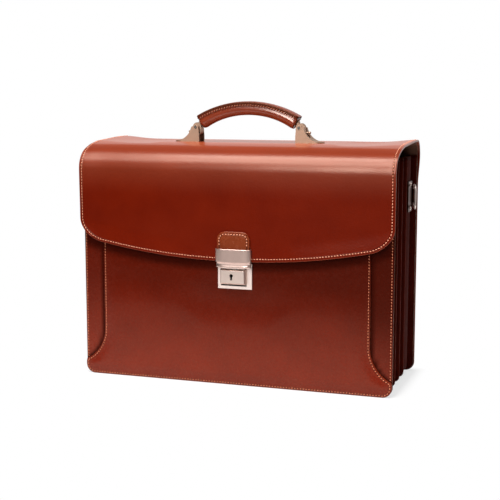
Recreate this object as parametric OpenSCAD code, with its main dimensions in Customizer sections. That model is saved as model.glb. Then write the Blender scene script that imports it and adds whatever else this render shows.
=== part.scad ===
// Leather flap-over briefcase with an accordion body, a rolled handle, a keyed front lock and two strap rings.
// Millimetres. X runs along the case, Y from its front (negative) to its back, Z up. The case stands on z = 0.

/* [Case] */
// Width of the front and back panels
case_w = 400; // [360:5:440]
// Depth from the front leather to the back leather
case_d = 144; // [136:1:170]
// Height of the closed case, without its handle
case_h = 297; // [280:1:330]
// Radius of the lower corners of the front and back panels
panel_corner_r = 12; // [8:1:16]

/* [Plies] */
// Thickness of the outer leather
leather_t = 2; // [1.6:0.1:2.4]
// Thickness of the stiffening board in the walls
board_t = 1.2; // [0.8:0.1:1.6]
// Thickness of the stiffener in the flap
stiffener_t = 0.8; // [0.5:0.1:1.2]
// Thickness of the lining
lining_t = 1; // [0.7:0.1:1.3]
// How far the boards stop short of the leather's edge
board_inset = 1; // [0.5:0.5:4]

/* [Gussets] */
// Thickness of the gusset leather
gusset_t = 1.2; // [0.9:0.1:1.5]
// Thickness of a divider
divider_t = 2; // [1.5:0.1:3]
// Width of the front gusset, from the front wall to the first divider
front_gusset_w = 32; // [26:1:38]
// Width of each of the two middle gussets
middle_gusset_w = 24; // [20:1:26]
// How far the dividers stop short of the sides and the base
fin_inset = 4; // [3:0.5:6]
// How far the gusset flanges on the outer walls stop short of the edge
wall_inset = 1.5; // [1:0.5:3]
// Width of a sewn gusset flange
flange_w = 7; // [5:0.5:9]
// How deep a pleat folds inward, from the edge of the case
pleat_d = 20; // [16:1:24]
// Softness of the folds
fold_r = 2.5; // [1.5:0.5:3]
// How far the rear gusset bulges outward between its flanges
rear_bulge = 5; // [2:0.5:6]
// How far the gussets' upper edge lies below the top of the case
gusset_drop = 17; // [17:1:24]
// How far the dividers stop below the gussets
divider_drop = 12; // [6:1:30]
// Radius of the lower corners of the dividers
fin_corner_r = 6; // [4:0.5:8]

/* [Pocket] */
// Half the width of the front pocket above its flared corners
pocket_half_w = 173; // [160:1:176]
// Radius of the flare at each lower corner of the pocket
pocket_flare_r = 46; // [38:1:50]
// Height at which the flare starts
pocket_flare_z = 60; // [54:1:70]
// How far the pocket's mouth lies below the front panel's upper edge
pocket_drop = 8; // [4:1:20]

/* [Flap] */
// How far the flap hangs down from the top, at its middle
flap_len = 142; // [130:1:160]
// How much higher the flap's lower edge would be at its sides than at its middle
flap_bow = 24; // [14:1:34]
// Radius of the flap's lower corners
flap_corner_r = 30; // [20:1:36]
// How far the flap stands out past the sides of the panels
flap_over = 2; // [1:0.5:5]
// Radius of the bend over the front edge
flap_front_r = 33; // [26:1:38]
// Radius of the bend over the back edge
flap_back_r = 16; // [12:1:17]
// Air between the pocket and the flap's lining
flap_gap = 1.3; // [1:0.1:2.5]

/* [Handle] */
// Height of the handle above the top of the case
handle_rise = 50.5; // [46:0.5:60]
// Radius of the handle's arch, at its upper face
handle_arch_r = 133; // [125:1:145]
// Width of the spine strap on top of the handle
spine_w = 20; // [18:0.5:24]
// Thickness of the spine strap
spine_t = 3.2; // [2.4:0.1:4]
// Radius of the rolled grip
grip_r = 7; // [6:0.1:8]
// Radius of the core inside the grip
core_r = 3.6; // [3:0.1:4]
// How far the handle sits in front of the middle of the case
handle_forward = 10; // [0:1:14]
// How far the handle can be lifted on its pins
handle_lift = 5; // [2:0.5:6]

/* [Handle brackets] */
// Distance of each pin from the middle of the case
pin_x = 68; // [66:0.5:70]
// How far the leather grip stops short of the pins, along the case
grip_short = 5.2; // [4.5:0.1:7]
// Radius of the bracket pins
pin_r = 1.9; // [1.5:0.1:2.2]
// Width of a bracket
bracket_w = 20; // [18:0.5:24]
// Thickness of the bracket metal
bracket_t = 1.6; // [1.2:0.1:2]
// Radius of the ears round the pin
ear_r = 3.6; // [3.2:0.1:4.2]
// Radius of the concave sweep from the ears to the foot
sweep_r = 21; // [20:0.5:22]
// Length of the foot beyond the end of the sweep
foot_len = 3.5; // [2:0.5:6]
// Width of the window between the two rails
window_w = 10.5; // [9.8:0.1:11.5]
// Width of the handle's end loop
loop_w = 9; // [7:0.5:9.2]
// Outer radius of the handle's end loop
loop_r = 5.6; // [5:0.1:6]

/* [Lock] */
// Distance of the lock to the right of the middle
lock_x = 4; // [-10:1:10]
// Width of the lock's base plate
lock_w = 44; // [40:1:50]
// How far the base plate reaches below the flap's edge
lock_below = 34; // [32:1:38]
// Thickness of the lock's base plate
lock_plate_t = 1.2; // [1:0.1:1.6]
// Width of the sliding button
button_w = 33; // [30:0.5:36]
// Height of the sliding button
button_h = 19; // [18:0.5:20]
// How far the button stands out from the base plate
button_proud = 6.6; // [6:0.1:8]
// Travel of the button
button_travel = 3; // [2:0.5:3.5]
// Radius of the key barrel inside the button
key_r = 4.6; // [4.2:0.1:5]
// Radius of the keyhole's round end
keyhole_r = 1.5; // [1:0.1:1.6]
// Width of the hasp on the flap
hasp_w = 46; // [44:0.5:52]
// Height of the hasp's upper band
band_h = 16; // [13:0.5:18]
// How far the hasp reaches below the flap's edge
lip_h = 7; // [6:0.5:7.5]
// How far the band stands out from the flap
band_proud = 6.2; // [5.5:0.1:7.5]
// How far the lip stands out from the flap
lip_proud = 4.2; // [3.8:0.1:5]
// Thickness of the hasp metal
hasp_t = 1.2; // [1:0.1:1.6]
// Width of the leather tab
tab_w = 42; // [36:1:43]
// How far the leather tab shows above the band
tab_show = 21; // [16:1:30]
// Thickness of the leather tab
tab_t = 2.4; // [1.8:0.1:3]
// Radius of the tab's upper corners
tab_corner_r = 10; // [6:0.5:12]

/* [Strap rings] */
// How far the middle of each strap ring lies below the top of the case
ring_drop = 67; // [57:1:110]
// Height of the ring's opening, wire centre to wire centre
ring_h = 27; // [24:1:30]
// Reach of the ring from its hinge, wire centre to wire centre
ring_reach = 29; // [24:1:30]
// Radius of the ring's wire
wire_r = 1.5; // [1.2:0.1:1.8]
// Radius of the ring's corners
ring_corner_r = 5; // [4:0.5:7]
// How far the ring stands off its plate at rest, in degrees
ring_tilt = 14; // [10:1:30]
// Height of the ring's plate
ring_plate_h = 38; // [36:1:44]
// Width of the ring's plate
ring_plate_w = 26; // [22:1:28]
// Thickness of the ring's plate
ring_plate_t = 1.2; // [1:0.1:1.6]

/* [Fasteners] */
// Radius of the rivet shanks
rivet_r = 1.5; // [1.2:0.1:1.8]
// Radius of the rivet heads
rivet_head_r = 2.8; // [2.4:0.1:3.2]
// Height of the rivet heads
rivet_head_h = 0.9; // [0.6:0.1:1.2]
// Thickness of the backing plates inside
backing_t = 1; // [0.8:0.1:1.5]

/* [Clearances] */
// Gap between the curved plies of the flap
ply_gap = 0.1; // [0.05:0.01:0.15]
// Gap round a rivet or a pin in its hole
hole_gap = 0.1; // [0.05:0.01:0.15]
// Gap between parts that move past each other
run_gap = 0.3; // [0.2:0.05:0.5]

/* [Hidden] */
$fn = 48;

wall_t = leather_t + board_t + lining_t;
flap_stack = leather_t + stiffener_t + lining_t + 2 * ply_gap;
pocket_t = leather_t;
lock_proud = pocket_t + flap_gap + flap_stack + band_proud;

// The box round the closed case is centred on the origin, lock included.
y_back = (case_d + lock_proud) / 2;
y_front = y_back - case_d;
y_pocket = y_front - pocket_t;
y_flap = y_pocket - flap_gap - flap_stack;
y_inner_front = y_front + wall_t;
y_inner_back = y_back - wall_t;
y_handle = (y_back + y_front) / 2 - handle_forward;

divider_y = [y_inner_front + front_gusset_w,
    y_inner_front + front_gusset_w + middle_gusset_w + divider_t,
    y_inner_front + front_gusset_w + 2 * (middle_gusset_w + divider_t)];

z_hinge = case_h - flap_back_r;
z_flap = case_h - flap_len;
gusset_top = case_h - gusset_drop;
divider_top = gusset_top - divider_drop;
bend_y = y_flap + flap_front_r;
bend_z = case_h - flap_front_r;
// Height of the flap's inner face over the point y, less a finger of air
mouth_air = 3;
function under_bend(y) = bend_z + sqrt(pow(flap_front_r - flap_stack, 2) - pow(bend_y - y, 2)) - mouth_air;
panel_top = under_bend(y_front);
pocket_top = panel_top - pocket_drop;
back_top = z_hinge - run_gap;

half_w = case_w / 2;
flap_half_w = half_w + flap_over;
flap_arc_r = (pow(flap_half_w, 2) + pow(flap_bow, 2)) / (2 * flap_bow);
flap_arc_z = z_flap + flap_arc_r;
corner_x = flap_half_w - flap_corner_r;
corner_z = flap_arc_z - sqrt(pow(flap_arc_r - flap_corner_r, 2) - pow(corner_x, 2));
corner_a = atan2(corner_z - flap_arc_z, corner_x);

handle_z = case_h + handle_rise - handle_arch_r;
spine_under_r = handle_arch_r - spine_t;
grip_flat = grip_r / 7;
grip_mid_r = spine_under_r - grip_r + grip_flat;
// Each end loop's shank leaves the grip along the arch and enters the loop above its pin.
shank_dx = 0.55 * loop_r;
shank_end_a = asin((pin_x - shank_dx) / grip_mid_r);
handle_half_a = asin((pin_x - grip_short) / grip_mid_r);
pin_z = handle_z + grip_mid_r * cos(shank_end_a) - 0.76 * loop_r;
pin_rise = pin_z - case_h;
pin_over = pin_r / 3;
ear_side = ear_r + pin_r;
sweep_x = pin_x + ear_side + sweep_r;
sweep_z = case_h + bracket_t + sweep_r;
foot_x = sweep_x + foot_len;
bracket_inner_x = pin_x - ear_r - pin_r / 2;
window_end_x = sweep_x - 2 * sweep_r / 3;
stud_x = foot_x - 2 * foot_len;
stud_y = bracket_w / 4;

lock_plate_z = z_flap - lock_below;
lock_plate_h = lock_below - 2;
lock_face_y = y_pocket - lock_plate_t;
button_z = lock_plate_z + 6;
button_face_y = lock_face_y - button_proud;
keeper_z = button_z + button_h + 2 * run_gap;
keeper_w = lock_w - 14;
keeper_top = lock_plate_z + lock_plate_h;
keeper_face_y = y_pocket - 6;
tongue_z = keeper_z + 2.8;
tongue_t = 1.6;
tongue_w = 12;
catch_w = 8;
catch_rise = 1;
spring_r = 1.5;
spring_wire_r = 0.35;
spring_turns = 5;
spring_x = button_w / 2 - 5;
post_w = 4;
post_t = 2.5;
post_reach = 4;
post_top = button_z + 4.5;
spring_top = button_z + 11;
lock_stud_x = lock_w / 2 - 5;

rear_y0 = divider_y[2] + divider_t;
rear_mid_y = (rear_y0 + y_inner_back) / 2;
ring_plate_x = half_w - fin_inset - flange_w + rear_bulge + gusset_t / 2 + 0.1;
ring_barrel_r = wire_r + hole_gap + ring_plate_t;
ring_z = case_h - ring_drop;
ring_axis_x = ring_plate_x + ring_barrel_r;
ring_axis_y = rear_mid_y + ring_plate_w / 2;
ring_barrel_h = ring_h - 2 * ring_corner_r;
washer_gap = 0.3;
big = 2 * case_h;

// Outline helpers
function arc(c, r, a0, a1, n) =
    [for (i = [0:n]) c + r * [cos(a0 + (a1 - a0) * i / n), sin(a0 + (a1 - a0) * i / n)]];
function open_arc(c, r, a0, a1, n) =
    [for (i = [1:n - 1]) c + r * [cos(a0 + (a1 - a0) * i / n), sin(a0 + (a1 - a0) * i / n)]];
function reversed(p) = [for (i = [len(p) - 1:-1:0]) p[i]];
function side_normal(a, b) = let (d = (b - a) / norm(b - a)) [-d[1], d[0]];
function miter(p, i) =
    let (last = len(p) - 1,
        before = side_normal(p[max(i - 1, 0)], p[max(i, 1)]),
        after = side_normal(p[min(i, last - 1)], p[min(i + 1, last)]),
        both = before + after)
    both * 2 / (both * both);
// A strip of thickness t that follows the path p
function ribbon(p, t) = concat(
    [for (i = [0:len(p) - 1]) p[i] + miter(p, i) * t / 2],
    [for (i = [len(p) - 1:-1:0]) p[i] - miter(p, i) * t / 2]);
function stadium(c, drop, r) = concat(
    arc(c, r, 0, 180, 16), arc(c - [0, drop], r, 180, 360, 16));

// A plate whose outline is drawn in X and Z, between two values of Y
module plate_xz(y0, y1)
    translate([0, y1, 0]) rotate([90, 0, 0]) linear_extrude(y1 - y0) children();
// A bar whose section is drawn in Y and Z, centred on the middle of the case
module along_x(w) rotate([90, 0, 90]) linear_extrude(w, center = true) children();
// A cylinder along Y, between two values of Y
module bar_y(x, z, r, y0, y1)
    translate([x, y0, z]) rotate([-90, 0, 0]) cylinder(r = r, h = y1 - y0);
module both_sides() {
    children();
    mirror([1, 0, 0]) children();
}

// Walls

function wall_outline(inset, top, r) = concat(
    [[-half_w + inset, top]],
    arc([-half_w + inset + r, inset + r], r, 180, 270, 8),
    arc([half_w - inset - r, inset + r], r, 270, 360, 8),
    [[half_w - inset, top]]);

module lock_stud_holes(y0, y1)
    for (s = [-1, 1], z = lock_stud_rows) bar_y(lock_x + s * lock_stud_x, z, rivet_r + hole_gap, y0, y1);

lock_stud_rows = [lock_plate_z + 4, keeper_top - 3];

module front_panel() color("sienna")
    difference() {
        plate_xz(y_front, y_front + leather_t) polygon(wall_outline(0, panel_top, panel_corner_r));
        lock_stud_holes(y_front - 1, y_front + leather_t + 1);
    }

module front_board() color("tan")
    difference() {
        plate_xz(y_front + leather_t, y_front + leather_t + board_t)
            polygon(wall_outline(board_inset, panel_top - board_inset, panel_corner_r - board_inset));
        lock_stud_holes(y_front, y_inner_front);
    }

module front_lining() color("wheat")
    difference() {
        plate_xz(y_inner_front - lining_t, y_inner_front)
            polygon(wall_outline(0, panel_top, panel_corner_r));
        lock_stud_holes(y_front, y_inner_front + 1);
    }

module back_panel() color("sienna")
    plate_xz(y_back - leather_t, y_back) polygon(wall_outline(0, back_top, panel_corner_r));

module back_board() color("tan")
    plate_xz(y_inner_back + lining_t, y_back - leather_t)
        polygon(wall_outline(board_inset, back_top - board_inset, panel_corner_r - board_inset));

module back_lining() color("wheat")
    plate_xz(y_inner_back, y_inner_back + lining_t) polygon(wall_outline(0, back_top, panel_corner_r));

// The pocket covers the front panel's whole base and flares out to its lower corners.
flare_x = pocket_half_w + pocket_flare_r;
flare_a = acos((flare_x - half_w) / pocket_flare_r);
function pocket_side() = concat(
    [[half_w, pocket_flare_z - pocket_flare_r * sin(flare_a)]],
    open_arc([flare_x, pocket_flare_z], pocket_flare_r, 180 + flare_a, 180, 12),
    [[pocket_half_w, pocket_flare_z], [pocket_half_w, pocket_top]]);
function flipped(p) = [for (q = reversed(p)) [-q[0], q[1]]];

module front_pocket() color("sienna")
    difference() {
        plate_xz(y_pocket, y_front)
            polygon(concat(
                flipped(pocket_side()),
                arc([-half_w + panel_corner_r, panel_corner_r], panel_corner_r, 180, 270, 8),
                arc([half_w - panel_corner_r, panel_corner_r], panel_corner_r, 270, 360, 8),
                pocket_side()));
        lock_stud_holes(y_pocket - 1, y_front + 1);
    }

// Gussets

// Pleat paths hold the distance from the case's edge, then Y. Each fold is a short curve.
function fold(a, b, c, r, n) =
    let (u = (a - b) / norm(a - b), v = (c - b) / norm(c - b), p = b + u * r, q = b + v * r)
    [for (i = [0:n]) let (t = i / n) (1 - t) * (1 - t) * p + 2 * t * (1 - t) * b + t * t * q];
function pleat_path(y0, y1, tip0, tip1) =
    let (a = [tip0, y0 + gusset_t / 2], b = [fin_inset + flange_w, y0 + gusset_t / 2],
        c = [pleat_d + fold_r / 2, (y0 + y1) / 2],
        d = [fin_inset + flange_w, y1 - gusset_t / 2], e = [tip1, y1 - gusset_t / 2])
    concat([a], fold(a, b, c, fold_r, 3), fold(b, c, d, 2 * fold_r, 5), fold(c, d, e, fold_r, 3), [e]);
function bulge_path(y0, y1) =
    let (a = y0 + gusset_t / 2, b = y1 - gusset_t / 2, n = 10)
    concat([[fin_inset, a]],
        [for (i = [0:n]) [fin_inset + flange_w - rear_bulge * sin(180 * i / n), a + (b - a) * i / n]],
        [[wall_inset, b]]);

// The mitre keeps the part of a side strip, or of the base strip, on its own half of the corner.
module mitre(side) plate_xz(-case_d, case_d)
    polygon(side
        ? [[half_w + 1, -1], [half_w - 2 * pleat_d, 2 * pleat_d], [half_w - 2 * pleat_d, big], [half_w + 1, big]]
        : [[-half_w - 1, -1], [half_w + 1, -1], [half_w - 2 * pleat_d, 2 * pleat_d],
            [2 * pleat_d - half_w, 2 * pleat_d]]);

module gusset(path) {
    strip = ribbon(path, gusset_t);
    both_sides() intersection() {
        linear_extrude(gusset_top) polygon([for (p = strip) [half_w - p[0], p[1]]]);
        mitre(true);
    }
    intersection() {
        along_x(case_w) polygon([for (p = strip) [p[1], p[0]]]);
        mitre(false);
    }
}

module rounded_corners(y0, y1, inset, r) plate_xz(y0, y1) polygon(wall_outline(inset, big, r));

module front_gusset() color("saddlebrown")
    intersection() {
        gusset(pleat_path(y_inner_front, divider_y[0], wall_inset, fin_inset));
        union() {
            rounded_corners(y_inner_front - 1, y_inner_front + 4, wall_inset, panel_corner_r - wall_inset);
            rounded_corners(y_inner_front + 4, divider_y[0] + 1, fin_inset, fin_corner_r);
        }
    }

module middle_gusset(y0)
    intersection() {
        gusset(pleat_path(y0, y0 + middle_gusset_w, fin_inset, fin_inset));
        rounded_corners(y0 - 1, y0 + middle_gusset_w + 1, fin_inset, fin_corner_r);
    }
module second_gusset() color("saddlebrown") middle_gusset(divider_y[0] + divider_t);
module third_gusset() color("saddlebrown") middle_gusset(divider_y[1] + divider_t);

module rear_gusset() color("saddlebrown")
    difference() {
        intersection() {
            gusset(bulge_path(rear_y0, y_inner_back));
            union() {
                rounded_corners(rear_y0 - 1, y_inner_back - 4, fin_inset, fin_corner_r);
                rounded_corners(y_inner_back - 4, y_inner_back + 1, wall_inset, panel_corner_r - wall_inset);
            }
        }
        both_sides() ring_rivet_holes();
    }

module divider(y) color("peru")
    plate_xz(y, y + divider_t) polygon(wall_outline(fin_inset, divider_top, fin_corner_r));
module front_divider() divider(divider_y[0]);
module middle_divider() divider(divider_y[1]);
module rear_divider() divider(divider_y[2]);

// Flap

function flap_path(o) = concat(
    arc([y_back - flap_back_r, z_hinge], flap_back_r - o, 0, 90, 10),
    arc([bend_y, bend_z], flap_front_r - o, 90, 180, 14),
    [[y_flap + o, z_flap - 1]]);
function flap_outline(inset) = concat(
    [[flap_half_w - inset, big]],
    arc([corner_x, corner_z], flap_corner_r - inset, 0, corner_a, 10),
    open_arc([0, flap_arc_z], flap_arc_r - inset, corner_a, -180 - corner_a, 30),
    arc([-corner_x, corner_z], flap_corner_r - inset, -180 - corner_a, -180, 10),
    [[inset - flap_half_w, big]]);

// One ply of the flap, from a depth o under its outer face, stopping short of the outline
module flap_ply(o, t, inset)
    intersection() {
        along_x(2 * flap_half_w + 2)
            polygon(concat(flap_path(o), reversed(flap_path(o + t))));
        plate_xz(2 * y_flap, 2 * y_back) polygon(flap_outline(inset));
    }

module bracket_stud_holes()
    both_sides() for (s = [-1, 1])
        translate([stud_x, y_handle + s * stud_y, case_h - 2 * flap_stack])
            cylinder(r = rivet_r + hole_gap, h = 3 * flap_stack);
module hasp_rivet_holes()
    for (s = [-1, 1])
        bar_y(lock_x + s * hasp_rivet_x, hasp_rivet_z, rivet_r + hole_gap, y_flap - 2 * tab_t, y_pocket);

hasp_rivet_x = tab_w / 4;
hasp_rivet_z = z_flap + band_h / 2;
ply_inset = 3;

module flap() color("sienna")
    difference() {
        flap_ply(0, leather_t, 0);
        bracket_stud_holes();
        hasp_rivet_holes();
    }
module flap_stiffener() color("tan")
    difference() {
        flap_ply(leather_t + ply_gap, stiffener_t, 3 * ply_inset);
        bracket_stud_holes();
        hasp_rivet_holes();
    }
module flap_lining() color("wheat")
    difference() {
        flap_ply(flap_stack - lining_t, lining_t, ply_inset);
        bracket_stud_holes();
        hasp_rivet_holes();
    }

// Handle brackets

// Side view of a bracket, in X and Z: a vertical inner edge, the ear, the sweep and the foot
function sweep(r, a0, a1) = arc([sweep_x, sweep_z], r, a0, a1, 14);
sweep_top_a = 180 + asin((sweep_z - pin_z) / sweep_r);
function bracket_side() = concat(
    [[bracket_inner_x, case_h], [foot_x, case_h], [foot_x, case_h + bracket_t]],
    sweep(sweep_r, 270, sweep_top_a),
    arc([pin_x, pin_z], ear_r, 20, 180, 12),
    [[bracket_inner_x, pin_z - 3 * ear_r]]);
function bracket_cavity() = concat(
    [[bracket_inner_x - 20, case_h - 1], [sweep_x, case_h - 1], [sweep_x, case_h]],
    sweep(sweep_r + bracket_t, 270, sweep_top_a),
    [[pin_x + ear_r - bracket_t, pin_z + 2 * ear_r], [bracket_inner_x - 20, pin_z + 2 * ear_r]]);

module bracket() color("silver")
    translate([0, y_handle, 0])
        difference() {
            plate_xz(-bracket_w / 2, bracket_w / 2) polygon(bracket_side());
            plate_xz(bracket_t - bracket_w / 2, bracket_w / 2 - bracket_t) polygon(bracket_cavity());
            translate([bracket_inner_x - 1, -window_w / 2, case_h + 3])
                cube([window_end_x - bracket_inner_x + 1, window_w, 2 * pin_rise]);
            bar_y(pin_x, pin_z, pin_r + hole_gap, -bracket_w, bracket_w);
            foot_rounding();
        }
// Rounds the outer end of the foot, seen from above
module foot_rounding()
    translate([foot_x - bracket_w / 2, 0, case_h - 1])
        difference() {
            translate([0, -bracket_w, 0]) cube([bracket_w, 2 * bracket_w, 2 * bracket_t + 1]);
            translate([0, 0, -1]) cylinder(r = bracket_w / 2, h = 2 * bracket_t + 3);
        }
module bracket_right() bracket();
module bracket_left() mirror([1, 0, 0]) bracket();

module bracket_pins() color("silver")
    both_sides() bar_y(pin_x, pin_z, pin_r, y_handle - bracket_w / 2 - pin_over, y_handle + bracket_w / 2 + pin_over);

backing_z = case_h - flap_stack - backing_t;
module bracket_studs() color("silver")
    both_sides() for (s = [-1, 1]) translate([stud_x, y_handle + s * stud_y, 0]) {
        translate([0, 0, backing_z - rivet_head_h]) cylinder(r = rivet_r, h = case_h - backing_z + rivet_head_h);
        translate([0, 0, backing_z - rivet_head_h]) cylinder(r = rivet_head_r, h = rivet_head_h);
    }
module bracket_backings() color("gray")
    both_sides() difference() {
        translate([stud_x - bracket_w / 3, y_handle - bracket_w / 2, backing_z])
            cube([2 * bracket_w / 3, bracket_w, backing_t]);
        bracket_stud_holes();
    }

// Handle

// Turns a section about the centre of the handle's arch, over the angles a0 to a1 from the upright
module arched(a0, a1)
    translate([0, y_handle, handle_z]) rotate([90, 0, 0]) rotate([0, 0, 90 - a1])
        rotate_extrude(angle = a1 - a0, $fn = 96) children();

// The grip's leather spreads under the spine strap, to take its two rows of stitches.
wing_w = spine_w / 2 - spine_t / 3;
wing_t = 0.4 * spine_t;
module grip_section()
    difference() {
        union() {
            intersection() {
                translate([grip_mid_r, 0]) circle(grip_r);
                translate([0, -2 * grip_r]) square([spine_under_r, 4 * grip_r]);
            }
            polygon([[spine_under_r, -wing_w], [spine_under_r, wing_w],
                [spine_under_r - wing_t, wing_w - wing_t / 4], [grip_mid_r + wing_t, 6 * grip_r / 7],
                [grip_mid_r + wing_t, -6 * grip_r / 7], [spine_under_r - wing_t, wing_t / 4 - wing_w]]);
        }
        translate([grip_mid_r, 0]) circle(core_r + ply_gap);
    }
module handle_grip() color("sienna") arched(-handle_half_a, handle_half_a) grip_section();
spine_edge = spine_t / 3;
module handle_spine() color("saddlebrown")
    arched(-handle_half_a - 1, handle_half_a + 1)
        polygon([[spine_under_r, -spine_w / 2], [handle_arch_r - spine_edge, -spine_w / 2],
            [handle_arch_r, 2 * spine_edge - spine_w / 2], [handle_arch_r, spine_w / 2 - 2 * spine_edge],
            [handle_arch_r - spine_edge, spine_w / 2], [spine_under_r, spine_w / 2]]);
shank_a = 5;
module handle_core() color("wheat")
    arched(-handle_half_a + shank_a, handle_half_a - shank_a)
        translate([grip_mid_r, 0]) circle(core_r);

// The loop's slot leaves room below the pin, so the handle can be lifted.
module handle_loop() color("silver") {
    difference() {
        union() {
            plate_xz(y_handle - loop_w / 2, y_handle + loop_w / 2)
                polygon(stadium([pin_x, pin_z], handle_lift, loop_r));
            arched(handle_half_a - shank_a + 0.2, shank_end_a)
                translate([grip_mid_r, 0]) circle(core_r);
            loop_stud();
        }
        plate_xz(y_handle - loop_w, y_handle + loop_w)
            polygon(stadium([pin_x, pin_z], handle_lift, pin_r + hole_gap));
    }
}
// A small headed stud on the loop's outer side, over the bracket's window
module loop_stud()
    translate([pin_x, y_handle, pin_z - handle_lift - stud_r]) rotate([0, 90, 0]) {
        cylinder(r = stud_r, h = 2 * loop_r);
        translate([0, 0, 2 * loop_r]) sphere(r = 1.6 * stud_r);
    }
stud_r = loop_r / 5;
module handle_loop_right() handle_loop();
module handle_loop_left() mirror([1, 0, 0]) handle_loop();

// Lock on the front panel

module lock_base() color("silver")
    translate([lock_x, 0, 0]) {
        plate_xz(lock_face_y, y_pocket) translate([-lock_w / 2, lock_plate_z]) square([lock_w, lock_plate_h]);
        difference() {
            plate_xz(keeper_face_y, lock_face_y)
                translate([-keeper_w / 2, keeper_z]) square([keeper_w, keeper_top - keeper_z]);
            plate_xz(keeper_face_y - 1, lock_face_y + 0.01)
                translate([-tongue_w / 2 - run_gap, tongue_z - run_gap])
                    square([tongue_w + 2 * run_gap, lock_plate_h]);
            plate_xz(catch_y - catch_t - run_gap, catch_y + run_gap)
                translate([-catch_w / 2 - run_gap, keeper_z - 1]) square([catch_w + 2 * run_gap, lock_plate_h]);
        }
        translate([spring_x, 0, 0])
            plate_xz(lock_face_y - post_reach, lock_face_y)
                translate([-post_w / 2, post_top - post_t]) square([post_w, post_t]);
    }
catch_t = 1.2;
catch_y = y_pocket - 3.8;

module lock_studs() color("gray")
    for (s = [-1, 1], z = lock_stud_rows) {
        bar_y(lock_x + s * lock_stud_x, z, rivet_r, y_pocket, y_inner_front + backing_t + rivet_head_h);
        bar_y(lock_x + s * lock_stud_x, z, rivet_head_r, y_inner_front + backing_t,
            y_inner_front + backing_t + rivet_head_h);
    }
module lock_backing() color("gray")
    difference() {
        plate_xz(y_inner_front, y_inner_front + backing_t)
            translate([lock_x - lock_w / 2, lock_plate_z]) square([lock_w, lock_plate_h]);
        lock_stud_holes(y_inner_front - 1, y_inner_front + backing_t + 1);
    }

key_z = button_z + button_h / 2;
key_x = lock_x - 2.5;
button_bevel = 1.8;
module button_outline(inset)
    translate([lock_x - button_w / 2 - 1 + inset, button_z + inset])
        square([button_w - 2 * inset, button_h - 2 * inset]);
module keyhole() {
    translate([key_x, key_z + keyhole_r]) circle(keyhole_r);
    translate([key_x - keyhole_r / 2, key_z - 2 * keyhole_r]) square([keyhole_r, 3 * keyhole_r]);
}
module lock_button() color("silver")
    difference() {
        hull() {
            plate_xz(button_face_y + 3, lock_face_y - 0.2) button_outline(0);
            plate_xz(button_face_y, button_face_y + 1) button_outline(button_bevel);
        }
        plate_xz(button_face_y - 1, lock_face_y) keyhole();
        bar_y(key_x, key_z, key_r + hole_gap, button_face_y + 1.6, lock_face_y);
        translate([lock_x + spring_x, 0, 0])
            plate_xz(lock_face_y - post_reach - 0.5, lock_face_y)
                translate([-post_w / 2 - 0.5, post_top - post_t - 0.5])
                    square([post_w + 1, spring_top - post_top + post_t + 0.5]);
    }
module lock_catch() color("gray")
    plate_xz(catch_y - catch_t, catch_y)
        translate([lock_x - catch_w / 2, button_z + button_h])
            square([catch_w, tongue_z + catch_rise - button_z - button_h]);
module key_barrel() color("gray")
    difference() {
        bar_y(key_x, key_z, key_r, button_face_y + 1.6 + run_gap, lock_face_y - 0.4);
        plate_xz(button_face_y, button_face_y + 4) keyhole();
    }

// A coil spring as one tube of six sides along its helix
module button_spring() color("gray")
    let (steps = 10 * spring_turns, sides = 6,
        height = spring_top - post_top - 2 * spring_wire_r - 0.2,
        centre = [lock_x + spring_x, lock_face_y - post_reach / 2 - 0.1, post_top + spring_wire_r + 0.1],
        rings = [for (i = [0:steps]) let (a = 36 * i)
            [for (j = [0:sides - 1]) let (b = 60 * j, r = spring_r + spring_wire_r * cos(b))
                centre + [r * cos(a), r * sin(a), height * i / steps + spring_wire_r * sin(b)]]])
    polyhedron(
        points = [for (ring = rings, p = ring) p],
        faces = concat(
            [[for (j = [0:sides - 1]) j]],
            [for (i = [0:steps - 1], j = [0:sides - 1], half = [0, 1])
                let (k = (j + 1) % sides, a = i * sides, b = a + sides)
                half == 0 ? [a + j, b + j, b + k] : [a + j, b + k, a + k]],
            [[for (j = [sides - 1:-1:0]) steps * sides + j]]));

// Hasp and tab on the flap

// A bowed channel seen from above: open at the flap, flat in front, with a long easy curve at each end
function bow(w, proud, sill) =
    let (a = w / 4, b = proud - sill, n = 10)
    concat(
        [for (i = [0:n]) [-w / 2 + a - a * cos(90 * i / n), y_flap - sill - b * sin(90 * i / n)]],
        [for (i = [n:-1:0]) [w / 2 - a + a * cos(90 * i / n), y_flap - sill - b * sin(90 * i / n)]]);
function channel(w, proud, sill) = concat([[-w / 2, y_flap]], bow(w, proud, sill), [[w / 2, y_flap]]);
module channel_shell(w, proud, sill, z0, z1)
    translate([0, 0, z0]) difference() {
        linear_extrude(z1 - z0) polygon(channel(w, proud, sill));
        translate([0, channel_cut, -1]) linear_extrude(z1 - z0 + 2)
            polygon(channel(w - 2 * hasp_t, proud - hasp_t, sill));
    }
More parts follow.
